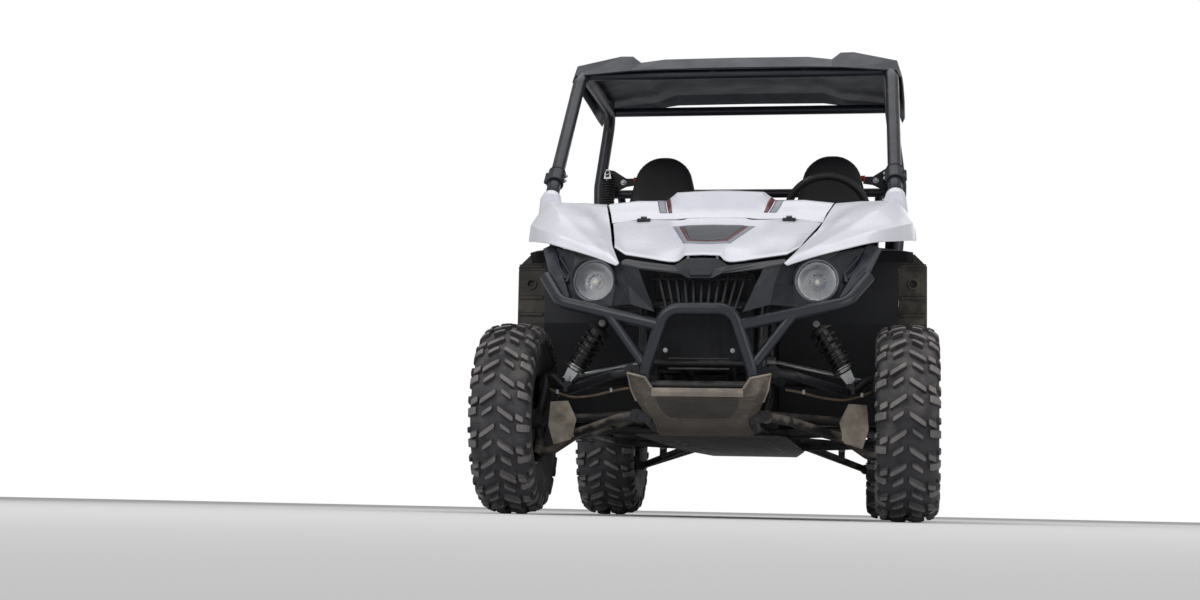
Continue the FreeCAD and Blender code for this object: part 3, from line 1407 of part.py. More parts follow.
def main():
    """Builds every piece and writes one file for each."""
    sides = cage_side(CAGE_TUBE_RADIUS)
    side_clear = cage_side(CAGE_TUBE_RADIUS + SEAT_GAP)
    cage_clear = pair(side_clear)
    rails = lower_frame()
    sills = sill_frame(rails)
    lower = loose([rails, sills])
    cage = joined([sides, pillar_clamp()] + [door_hinge_arm(z) for z in DOOR_HINGE_HEIGHTS]).cut(lower)
    front = front_frame().cut(lower)
    rear = rear_frame().cut(lower)
    arms = front_arms()
    rear_links = rear_arms()
    nose = fascia().cut(front)
    pieces = wheels()
    knuckle = front_knuckle()
    pieces["knuckle_left"] = knuckle
    pieces["knuckle_right"] = mirrored(knuckle)
    upper_arm, lower_arm = arms
    pieces["front_upper_arms"] = pair(upper_arm)
    pieces["front_lower_arms"] = pair(lower_arm)
    pieces["arm_guards"] = pair(arm_guard(arms))
    pieces["front_shocks"] = pair(shock(FRONT_SHOCK))
    pieces["rear_shocks"] = pair(shock(REAR_SHOCK))
    pieces["tie_rods"] = tie_rods()
    pieces["rack_housing"] = rack_housing()
    pieces["front_drive"] = driveline(0, 90, at(FRONT_WHEEL_X - 132, 0, TYRE_RADIUS))
    pieces["rear_drive"] = driveline(
        WHEELBASE, 110, at(REAR_WHEEL_X - UPRIGHT_INSET - 38, WHEELBASE, TYRE_RADIUS),
    )
    pieces["lower_frame"] = rails
    pieces["sill_frame"] = sills
    pieces["front_frame"] = front
    pieces["rear_frame"] = rear
    pieces["front_bumper"] = bumper().cut(lower)
    pieces["front_skid"] = front_skid().cut(lower)
    pieces["belly_skid"] = belly_skid()
    pieces["cage_left"] = cage
    pieces["cage_right"] = mirrored(cage)
    crossings = cage_cross(pair(sides))
    pieces["cage_cross"] = crossings
    pieces["roof"] = roof(loose([cage_clear, crossings]))
    pieces["hood"] = hood()
    pieces["cowl"] = cowl()
    pieces["front_fenders"] = pair(front_fender(side_clear))
    pieces["front_fascia"] = nose
    pieces["grille"] = grille(nose)
    pieces["radiator"] = radiator()
    pieces["headlights"] = headlights()
    pieces["mud_flares"] = pair(flare())
    pieces["liners"] = pair(liner())
    pieces["floor"] = floor(cage_clear)
    pieces["rockers"] = pair(rocker())
    pieces["dashboard"] = dashboard(column_sleeve(COLUMN_RADIUS))
    pieces["seat_riser"] = seat_riser()
    pieces["seat_cushions"] = pair(seat_cushion())
    pieces["seat_backs"] = pair(seat_back())
    pieces["steering_wheel"] = steering_wheel()
    pieces["steering_column"] = steering_column()
    side_door = door()
    pieces["door_left"] = side_door
    pieces["door_right"] = mirrored(side_door)
    pieces["rear_fenders"] = pair(rear_fender(side_clear))
    pieces["cargo_bed"] = cargo_bed(crossings)
    pieces["tail_panel"] = tail_panel()
    pieces["tail_lights"] = tail_lights()
    pieces["rear_bumper"] = rear_bumper().cut(lower)
    pieces["hitch"] = hitch()
    pieces["rear_arms"] = pair(loose(rear_links))
    pieces["rear_carriers"] = pair(rear_carrier())
    pieces["engine"] = engine()
    pieces["exhaust"] = exhaust(rear)
    os.makedirs(OUT, exist_ok=True)
    for name, shape in pieces.items():
        shape.exportStep(os.path.join(OUT, name + ".step"))


main()
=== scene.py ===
"""Looks of a two-seat side by side utility vehicle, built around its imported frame.

The frame is in metres: +X is the vehicle's left, -Y its front, +Z up. In the tables a place is
(x, aft, z) in millimetres, with aft measured back from the front axle.
"""

import logging
import math
from dataclasses import dataclass, field
from enum import Enum
from typing import Any, Iterable, Sequence

import bpy
import bmesh
import numpy as np
from mathutils import Matrix, Vector


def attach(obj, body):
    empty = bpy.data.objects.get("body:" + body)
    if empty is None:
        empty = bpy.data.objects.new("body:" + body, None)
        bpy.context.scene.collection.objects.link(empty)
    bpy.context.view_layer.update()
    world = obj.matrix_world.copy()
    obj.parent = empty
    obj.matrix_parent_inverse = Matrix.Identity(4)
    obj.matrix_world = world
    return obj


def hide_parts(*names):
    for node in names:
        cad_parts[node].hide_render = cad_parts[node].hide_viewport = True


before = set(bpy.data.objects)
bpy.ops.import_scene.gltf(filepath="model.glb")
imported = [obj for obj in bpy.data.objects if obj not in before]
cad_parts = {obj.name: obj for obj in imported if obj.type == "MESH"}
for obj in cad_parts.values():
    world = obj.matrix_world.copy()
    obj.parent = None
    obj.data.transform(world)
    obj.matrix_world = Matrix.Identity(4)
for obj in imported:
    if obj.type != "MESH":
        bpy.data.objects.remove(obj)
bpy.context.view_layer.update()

LOG = logging.getLogger("side_by_side")

Place = tuple[float, float, float]
Table = list[list[Place]]
Tree = bpy.types.NodeTree
Socket = bpy.types.NodeSocket

# Where the front axle stands in the frame, in metres
FRONT_AXLE_Y = -1.0755
# Places behind the front axle, in millimetres
WHEELBASE = 2065.0
CAB_REAR = WHEELBASE - 415.0
TAIL = WHEELBASE + 458.0
# Radius of the wheels, and the middle and width of the tyres on each axle, in millimetres
WHEEL_RADIUS = 325.0
FRONT_WHEEL_X = 660.5
FRONT_TYRE_WIDTH = 203.0
REAR_WHEEL_X = 635.0
REAR_TYRE_WIDTH = 254.0
# Distance of each seat's middle from the centre plane, in millimetres
SEAT_X = 361.0
CHASSIS = "chassis"
SIDES = (1, -1)
HANDS = (("left", 1), ("right", -1))
LEFT = Vector((1, 0, 0))
AFT = Vector((0, 1, 0))
UP = Vector((0, 0, 1))

# Phase of a banded pattern over one unit of its scale, in radians
WAVE_RATE = 20.0
# Lines of brushed metal: how often they change along X, for once across it
BRUSHED_STRETCH = 0.02
# Dust: its patches in a metre, the extra on faces that look up and near the ground, the most of it
DUST_PATCHES = 14.0
DUST_ON_TOP = 0.16
DUST_NEAR_GROUND = 0.22
DUST_AT_MOST = 0.92
DUST_ROUGH = 0.9
# Patches of a finish's second colour in a metre
TINT_PATCHES = 9.0
# Scratches in a metre along each axis: long in X and close together in Z
SCRATCH_GRAIN = (9.0, 60.0, 340.0)
# No finish is glossier than this
LEAST_ROUGH = 0.03


def at(x: float, aft: float, z: float) -> Vector:
    """Turn a place from the tables into a point of the frame.

    Args:
        x: Distance to the vehicle's left, in millimetres.
        aft: Distance behind the front axle, in millimetres.
        z: Height, in millimetres.

    Returns:
        The point, in metres.
    """
    return Vector((x / 1000, FRONT_AXLE_Y + aft / 1000, z / 1000))


def route(places: Iterable[Place]) -> list[Vector]:
    """Turn places from the tables into points of the frame."""
    return [at(*place) for place in places]


def circle(count: int) -> list[tuple[float, float]]:
    """Cosine and sine of evenly spaced turns, from zero on."""
    return [(math.cos(2 * math.pi * n / count), math.sin(2 * math.pi * n / count)) for n in range(count)]


def tipped(degrees: float) -> Matrix:
    """Rotation about the vehicle's crosswise axis."""
    return Matrix.Rotation(math.radians(degrees), 3, "X")


def linear(code: str) -> tuple[float, float, float, float]:
    """Turn an sRGB hex colour into a linear one.

    Args:
        code: Six hex digits.

    Returns:
        Linear red, green and blue, and an alpha of one.
    """
    values = [int(code[i:i + 2], 16) / 255 for i in (0, 2, 4)]
    red, green, blue = [v / 12.92 if v <= 0.04045 else ((v + 0.055) / 1.055) ** 2.4 for v in values]
    return red, green, blue, 1.0


def add_node(tree: Tree, kind: str, inputs: dict | None = None, **settings: Any) -> bpy.types.Node:
    """Add one shader node with its settings, values and links.

    A map range's numbered inputs are its value, then low and high before and after. A mix's are its
    factor and its two ends: 2 and 3 for numbers, 6 and 7 for colours.

    Args:
        tree: The node tree.
        kind: The node's type, without its common prefix.
        inputs: Value or output socket for each named or numbered input.
        **settings: Attributes of the node.

    Returns:
        The node.
    """
    node = tree.nodes.new("ShaderNode" + kind)
    for name, value in settings.items():
        setattr(node, name, value)
    for name, value in (inputs or {}).items():
        if isinstance(value, bpy.types.NodeSocket):
            tree.links.new(value, node.inputs[name])
        else:
            node.inputs[name].default_value = value
    return node


class Surface(Enum):
    """How a surface was made, which sets the pattern of its relief."""

    SMOOTH = "orange peel of a glossy moulding or powder coat"
    GRAINED = "leather-like grain of a moulded panel"
    CAST = "sand texture of a casting"
    BRUSHED = "fine lines of drawn or brushed metal"
    WOVEN = "crossed threads of webbing"
    FINNED = "upright cooling fins"


@dataclass(frozen=True)
class Coating:
    """What every finish shares: a name, and a material that is made once.

    Attributes:
        name: The material's plain name.
    """

    name: str

    def shade(self, tree: Tree, place: Socket) -> Socket:
        """Add the nodes of the surface, which each kind of finish has of its own.

        Args:
            tree: The material's nodes.
            place: Socket with the object's own coordinates, in metres.

        Returns:
            Socket of the whole surface.
        """
        raise NotImplementedError

    def build(self) -> bpy.types.Material:
        """Make the material, or give the one made before.

        Returns:
            The material.
        """
        if self.name in bpy.data.materials:
            return bpy.data.materials[self.name]
        material = bpy.data.materials.new(self.name)
        material.use_nodes = True
        tree = material.node_tree
        tree.nodes.clear()
        place = add_node(tree, "TexCoord").outputs["Object"]
        add_node(tree, "OutputMaterial", {"Surface": self.shade(tree, place)})
        return material


@dataclass(frozen=True)
class Finish(Coating):
    """A real finish: its colour, gloss, relief and the dust and wear on it.

    Attributes:
        base: Main colour, sRGB hex.
        shade_base: Second colour that the main one drifts to, sRGB hex.
        roughness: Middle roughness.
        surface: How the surface was made.
        pitch_mm: Size of one grain, or spacing of threads or fins.
        relief_mm: Depth of the relief.
        dust: Share of the surface that dust covers, from 0 to 1.
        dust_base: Colour of the dust, sRGB hex.
        metallic: 1 for bare metal.
        coat: Strength of a clear lacquer.
        low_dust: More dust below this height in metres, or 0 for none.
        scratches: Strength of light scratches, from 0 to 1.
    """

    base: str
    shade_base: str
    roughness: float
    surface: Surface
    pitch_mm: float
    relief_mm: float
    dust: float = 0.0
    dust_base: str = "8C7B6B"
    metallic: float = 0.0
    coat: float = 0.0
    low_dust: float = 0.0
    scratches: float = 0.0

    def relief(self, tree: Tree, place: Socket) -> Socket:
        """Height of the surface's fine pattern.

        Args:
            tree: The material's nodes.
            place: Socket with the object's own coordinates, in metres.

        Returns:
            A socket with heights from 0 to 1.
        """
        scale = 1000 / self.pitch_mm
        bands = scale * math.tau / WAVE_RATE
        if self.surface is Surface.GRAINED:
            cells = add_node(tree, "TexVoronoi", {"Vector": place, "Scale": scale}, feature="SMOOTH_F1")
            return cells.outputs["Distance"]
        if self.surface is Surface.WOVEN:
            threads = [
                add_node(
                    tree, "TexWave", {"Vector": place, "Scale": bands, "Distortion": 0.4},
                    bands_direction=axis,
                ).outputs["Fac"]
                for axis in ("DIAGONAL", "Z")
            ]
            crossed = add_node(tree, "Math", {0: threads[0], 1: threads[1]}, operation="MAXIMUM")
            return crossed.outputs[0]
        if self.surface is Surface.FINNED:
            fins = add_node(tree, "TexWave", {"Vector": place, "Scale": bands}, bands_direction="X")
            return fins.outputs["Fac"]
        if self.surface is Surface.BRUSHED:
            drawn = (scale * BRUSHED_STRETCH, scale, scale)
            lines = add_node(tree, "Mapping", {"Vector": place, "Scale": drawn})
            strokes = add_node(tree, "TexNoise", {"Vector": lines.outputs[0], "Scale": 1.0})
            return strokes.outputs["Fac"]
        detail = 5.0 if self.surface is Surface.CAST else 1.0
        noise = add_node(tree, "TexNoise", {"Vector": place, "Scale": scale, "Detail": detail})
        return noise.outputs["Fac"]

    def dust_mask(self, tree: Tree, place: Socket) -> Socket:
        """How much dust lies on each point.

        Args:
            tree: The material's nodes.
            place: Socket with the object's own coordinates, in metres.

        Returns:
            A socket from 0, clean, to 1, covered.
        """
        patches = add_node(
            tree, "TexNoise",
            {"Vector": place, "Scale": DUST_PATCHES, "Detail": 7.0, "Roughness": 0.62},
        ).outputs["Fac"]
        facing = add_node(tree, "TexCoord").outputs["Normal"]
        upward = add_node(tree, "SeparateXYZ", {0: facing}).outputs["Z"]
        cover = add_node(
            tree, "Math", {0: upward, 1: DUST_ON_TOP, 2: patches},
            operation="MULTIPLY_ADD",
        ).outputs[0]
        if self.low_dust:
            height = add_node(tree, "SeparateXYZ", {0: place}).outputs["Z"]
            low = add_node(
                tree, "MapRange",
                {0: height, 1: self.low_dust, 2: self.low_dust * 0.35, 3: 0.0, 4: DUST_NEAR_GROUND},
            ).outputs[0]
            cover = add_node(tree, "Math", {0: cover, 1: low}, operation="ADD").outputs[0]
        edge = 0.78 - 0.5 * self.dust
        mask = add_node(
            tree, "MapRange",
            {0: cover, 1: edge - 0.12, 2: edge + 0.16, 3: 0.0, 4: DUST_AT_MOST},
        )
        return mask.outputs[0]

    def shade(self, tree: Tree, place: Socket) -> Socket:
        """Add the colour, its drift, the dust, the scratches and the relief.

        Args:
            tree: The material's nodes.
            place: Socket with the object's own coordinates, in metres.

        Returns:
            Socket of the whole surface.
        """
        patches = add_node(
            tree, "TexNoise", {"Vector": place, "Scale": TINT_PATCHES, "Detail": 4.0}
        ).outputs["Fac"]
        drift = add_node(tree, "MapRange", {0: patches, 1: 0.35, 2: 0.65, 3: 0.0, 4: 1.0}).outputs[0]
        colour = add_node(
            tree, "Mix", {0: drift, 6: linear(self.base), 7: linear(self.shade_base)},
            data_type="RGBA",
        ).outputs[2]
        gloss = max(LEAST_ROUGH, self.roughness - 0.05)
        rough = add_node(
            tree, "MapRange", {0: drift, 3: gloss, 4: min(1.0, self.roughness + 0.06)}
        ).outputs[0]
        if self.dust:
            mask = self.dust_mask(tree, place)
            colour = add_node(
                tree, "Mix", {0: mask, 6: colour, 7: linear(self.dust_base)},
                data_type="RGBA",
            ).outputs[2]
            rough = add_node(tree, "Mix", {0: mask, 2: rough, 3: DUST_ROUGH}).outputs[0]
        if self.scratches:
            streak = add_node(tree, "Mapping", {"Vector": place, "Scale": SCRATCH_GRAIN}).outputs[0]
            lines = add_node(
                tree, "TexNoise", {"Vector": streak, "Scale": 1.0, "Detail": 3.0}
            ).outputs["Fac"]
            marks = add_node(
                tree, "MapRange", {0: lines, 1: 0.62, 2: 0.70, 3: 0.0, 4: self.scratches}
            ).outputs[0]
            colour = add_node(
                tree, "Mix", {0: marks, 6: colour, 7: linear(self.dust_base)},
                data_type="RGBA",
            ).outputs[2]
        fine = self.relief(tree, place)
        bump = add_node(
            tree, "Bump",
            {"Height": fine, "Distance": self.relief_mm / 1000, "Strength": 0.8},
        ).outputs[0]
        return add_node(
            tree, "BsdfPrincipled",
            {
                "Base Color": colour, "Roughness": rough, "Metallic": self.metallic,
                "Coat Weight": self.coat, "Coat Roughness": 0.12, "Normal": bump,
            },
        ).outputs[0]


@dataclass(frozen=True)
class ClearPlastic(Coating):
    """Clear or tinted moulded plastic, such as a lamp's lens.

    Attributes:
        tint: Colour of what passes through, sRGB hex.
        roughness: Roughness of its outside.
        ior: Index of refraction, low because a thin shell hardly bends what passes through it.
        haze: Waves of its faint unevenness in a metre.
        haze_mm: Depth of that unevenness.
    """

    tint: str
    roughness: float
    ior: float = 1.08
    haze: float = 60.0
    haze_mm: float = 0.1

    def shade(self, tree: Tree, place: Socket) -> Socket:
        """Add the clear body with its faint unevenness.

        Args:
            tree: The material's nodes.
            place: Socket with the object's own coordinates, in metres.

        Returns:
            Socket of the whole surface.
        """
        waves = add_node(
            tree, "TexNoise", {"Vector": place, "Scale": self.haze, "Detail": 2.0}
        ).outputs["Fac"]
        bump = add_node(
            tree, "Bump",
            {"Height": waves, "Distance": self.haze_mm / 1000, "Strength": 0.05},
        ).outputs[0]
        return add_node(
            tree, "BsdfPrincipled",
            {
                "Base Color": linear(self.tint), "Roughness": self.roughness, "IOR": self.ior,
                "Transmission Weight": 1.0, "Normal": bump,
            },
        ).outputs[0]


# Injection-moulded ABS with the gloss of a polished tool: even, a little blue, soft reflections
WHITE_ABS = Finish("white_moulded_abs", "E6E7F0", "DFE0EA", 0.30, Surface.SMOOTH, 40, 0.015, coat=0.2)
# Grained polypropylene: a leather grain that breaks up the highlights, with a little dust in it
BLACK_PP = Finish(
    "black_grained_polypropylene", "20232B", "1A1D24", 0.50, Surface.GRAINED, 1.6, 0.12, 0.10, "5E5A58"
)
# The nose's facets round the lamps: the black grained plastic with a painted highlight, paler and glossier
# where the light grazes them
HIGHLIT_NOSE_PP = Finish(
    "nose_polypropylene_painted_highlight", "343843", "2C2F39", 0.42, Surface.GRAINED, 1.6, 0.08, 0.05, "6E6A6C"
)
# Liners, floor and hidden mouldings: coarse grain, matt and nearly black
FLOOR_PP = Finish(
    "black_floor_polypropylene", "15171D", "111318", 0.56, Surface.GRAINED, 2.4, 0.15, 0.05, "4E4B49"
)
# Rotomoulded polyethylene roof: matt, slightly blue, with a fine orange peel
ROOF_PE = Finish("dark_roof_polyethylene", "2B303B", "272B35", 0.50, Surface.GRAINED, 1.2, 0.08)
# Powder coat over steel tube: satin with orange peel
TUBE_COAT = Finish(
    "satin_powder_coated_tube", "20232D", "1A1D27", 0.38, Surface.SMOOTH, 4, 0.05, 0.04, "605C5E",
    coat=0.12,
)
# Frame paint: duller than the cage, with dust that thickens towards the ground
FRAME_COAT = Finish(
    "dusty_black_frame_paint", "181A20", "141519", 0.45, Surface.SMOOTH, 5, 0.06, 0.10, "5E5852",
    low_dust=0.42,
)
# Suspension arms: the same paint under much more dust
ARM_COAT = Finish(
    "dusty_black_arm_paint", "1B1C20", "17181B", 0.44, Surface.SMOOTH, 5, 0.08, 0.24, "857B71",
    low_dust=0.42,
)
# Polyethylene plate scraped by rocks: dust in every scratch
SKID_PE = Finish(
    "scraped_skid_polyethylene", "575049", "453F3A", 0.62, Surface.CAST, 7, 0.5, 0.42, "8A7F75",
    scratches=0.55,
)
# Its lip and horns, rubbed pale and rough
SKID_EDGE = Finish(
    "rubbed_skid_edge", "857B70", "6B6259", 0.66, Surface.CAST, 7, 0.4, 0.4, "A89E92", scratches=0.4
)
# Its middle below the lip, darker as painted shade
SKID_PAINTED_SHADE = Finish(
    "skid_polyethylene_painted_shade", "3A3733", "2E2C29", 0.58, Surface.CAST, 7, 0.3, 0.20, "6A6259",
    scratches=0.3,
)
# Belly plate of the same plastic: dark, matt and dusty
BELLY_PE = Finish(
    "dusty_belly_polyethylene", "2A2B2D", "222325", 0.6, Surface.CAST, 9, 0.4, 0.30, "6E675F",
    scratches=0.2,
)
# Arm guards: plastic caked with dry dust, brown and quite matt
GUARD_PE = Finish(
    "dust_caked_guard", "75695F", "5A524B", 0.7, Surface.CAST, 8, 0.6, 0.66, "A89E92", scratches=0.35
)
# Rubber flares behind the wheels: matt, with thrown dust up to their tops
FLARE_PE = Finish(
    "dusty_flare_rubber", "3B3833", "2E2C29", 0.66, Surface.CAST, 6, 0.4, 0.22, "6A6359", low_dust=0.9
)
# Enamelled spring wire: glossy black with dust on its upper sides
SPRING_STEEL = Finish(
    "black_spring_enamel", "1A1A1D", "151517", 0.34, Surface.SMOOTH, 5, 0.05, 0.16, "85776A", coat=0.2
)
# Painted castings of the knuckles and drives: sandy relief under thin paint
CAST_IRON = Finish(
    "dusty_painted_casting", "1F2024", "1A1B1E", 0.55, Surface.CAST, 3, 0.3, 0.18, "6E665E",
    low_dust=0.45,
)
# Bare aluminium casting: grey, softly glossy, with dust in its grain
CAST_ALLOY = Finish("cast_aluminium", "9EA0A3", "86888B", 0.42, Surface.CAST, 2.5, 0.2, 0.22, "8C7F72", 1.0)
# Zinc-plated bolts and drawn rods: fine lines and a cold shine
BRIGHT_STEEL = Finish(
    "zinc_plated_steel", "B9BBBC", "A2A4A6", 0.34, Surface.BRUSHED, 0.6, 0.03, 0.14, "8C7F72", 1.0
)
# Muffler steel browned by heat
MUFFLER_STEEL = Finish(
    "heat_tinted_steel", "8D857B", "6F665E", 0.38, Surface.BRUSHED, 0.8, 0.05, 0.15, "7D6E60", 1.0
)
# Powder-coated cast wheels: satin black with dust in the corners
WHEEL_COAT = Finish(
    "black_wheel_powder_coat", "17181A", "131415", 0.38, Surface.SMOOTH, 4, 0.04, 0.20, "7A7169",
    coat=0.2,
)
# Coated seat cloth: matt black with a fine grain
SEAT_VINYL = Finish("black_coated_seat_cloth", "15161A", "111215", 0.60, Surface.GRAINED, 1.4, 0.12)
# Moulded rubber of grips and sleeves: matt, with a pebble grain
GRIP_RUBBER = Finish(
    "black_grip_rubber", "141415", "101011", 0.60, Surface.GRAINED, 1.8, 0.10, 0.06, "6E655C"
)
# Tyre rubber: nearly black in the grooves, grey-brown with ground-in dust on the lugs
TYRE_RUBBER = Finish("tyre_rubber", "38373C", "2D2C30", 0.72, Surface.CAST, 5, 0.35, 0.36, "676462")
LUG_RUBBER = Finish("worn_lug_rubber", "6C696A", "5D5A5B", 0.74, Surface.CAST, 7, 0.5, 0.50, "88827F")
# Brake hose sheathed in rubber, brown with road dust
HOSE_RUBBER = Finish("dusty_brake_hose", "6E5F4E", "57493C", 0.62, Surface.SMOOTH, 3, 0.05, 0.3, "9A8976")
# Radiator core: dark fins, drawn far coarser than real ones so that they show
CORE_ALLOY = Finish(
    "radiator_core_fins", "25272B", "1B1C1F", 0.45, Surface.FINNED, 31.416, 0.8, metallic=0.5
)
# Polycarbonate lens: clear, with a little haze from dust
CLEAR_LENS = ClearPlastic("polycarbonate_lens", "FAFAFA", 0.02)
# Tinted acrylic of the tail lamps: deep red that the light passes through
RED_LENS = ClearPlastic("red_acrylic_lens", "B0121A", 0.10)
# Woven polyester webbing, its threads drawn coarser than real ones so that they show
BELT_WEBBING = Finish("orange_webbing", "B4441A", "963A14", 0.75, Surface.WOVEN, 13.823, 0.25)
# Printed vinyl film on the hood and cowl: flat colour with an even satin gloss
RED_FILM = Finish("dark_red_film", "65101A", "560D15", 0.34, Surface.SMOOTH, 20, 0.02)
GREY_FILM = Finish("grey_film", "8C8F99", "82858F", 0.32, Surface.SMOOTH, 20, 0.02)
DARK_FILM = Finish("dark_grey_film", "2C2F39", "262932", 0.34, Surface.SMOOTH, 20, 0.02)
# Painted ring round each lamp's lens: light grey with a touch of metal flake
LAMP_RING = Finish("grey_lamp_ring", "B9BBC2", "A6A8B0", 0.35, Surface.SMOOTH, 4, 0.03, metallic=0.35)
# Vacuum-metallised reflector: bright and cold, a thin mirror over moulded facets
REFLECTOR = Finish("metallised_reflector", "FBFCFF", "D4D8E2", 0.16, Surface.SMOOTH, 6, 0.02, metallic=0.72)
# Frosted bulb hood: warm white and matt
BULB_WHITE = Finish("frosted_bulb", "F0EDE4", "E4E0D6", 0.4, Surface.SMOOTH, 3, 0.02)


def spline(table: np.ndarray, steps: int, sharp: Iterable[int] = ()) -> np.ndarray:
    """Pass a smooth line through a table's first axis, broken at its sharp entries.

    Args:
        table: Points, or rows of points.
        steps: Samples between two entries.
        sharp: Entries where the line may turn sharply.

    Returns:
        The samples, from the first entry to the last.
    """
    breaks = [0, *sorted(sharp), len(table) - 1]
    samples = []
    for low, high in zip(breaks, breaks[1:]):
        run = table[low:high + 1]
        run = np.concatenate([(2 * run[0] - run[1])[None], run, (2 * run[-1] - run[-2])[None]])
        for a, b, c, d in zip(run, run[1:], run[2:], run[3:]):
            squared, cubed = 2 * a - 5 * b + 4 * c - d, 3 * b - a - 3 * c + d
            for t in np.linspace(0, 1, steps, endpoint=False):
                samples.append((2 * b + (c - a) * t + squared * t**2 + cubed * t**3) / 2)
    samples.append(table[-1])
    return np.stack(samples)


def skin_points(
    table: Table, steps: tuple[int, int], sharp_rows: Iterable[int], sharp_columns: Iterable[int]
) -> np.ndarray:
    """Points of a smooth panel through a table of places.

    Args:
        table: Rows of places.
        steps: Samples between two rows and between two columns.
        sharp_rows: Rows that are creases.
        sharp_columns: Columns that are creases.

    Returns:
        Rows of points, in metres.
    """
    grid = np.array([route(row) for row in table])
    grid = spline(grid, steps[0], sharp_rows)
    return np.swapaxes(spline(np.swapaxes(grid, 0, 1), steps[1], sharp_columns), 0, 1)


def whole_width(table: Table) -> Table:
    """Rows from the centre plane outwards, made whole by their mirror image."""
    return [[(-x, aft, z) for x, aft, z in row[:0:-1]] + row for row in table]


def bent(places: Sequence[Vector], radius: float, steps: int = 5) -> list[Vector]:
    """A tube's line of straight runs joined by arcs.

    Args:
        places: Corners of the line.
        radius: Bend radius in metres, less where a run is short.
        steps: Points along each arc.

    Returns:
        The points of the line.
    """
    line = [places[0]]
    for before, corner, after in zip(places, places[1:], places[2:]):
        back, on = before - corner, after - corner
        half_turn = (math.pi - back.angle(on)) / 2
        reach = min(radius * math.tan(half_turn), 0.45 * min(back.length, on.length))
        enter, leave = corner + back.normalized() * reach, corner + on.normalized() * reach
        for n in range(steps + 1):
            t = n / steps
            line.append(enter * (1 - t)**2 + corner * 2 * t * (1 - t) + leave * t**2)
    return line + [places[-1]]


def side_axes(along: Vector) -> tuple[Vector, Vector]:
    """Two directions square to a direction and to each other.

    Args:
        along: The direction.

    Returns:
        The two directions, each of length one.
    """
    helper = UP if abs(along.normalized().z) < 0.9 else AFT
    first = along.cross(helper).normalized()
    return first, along.cross(first).normalized()


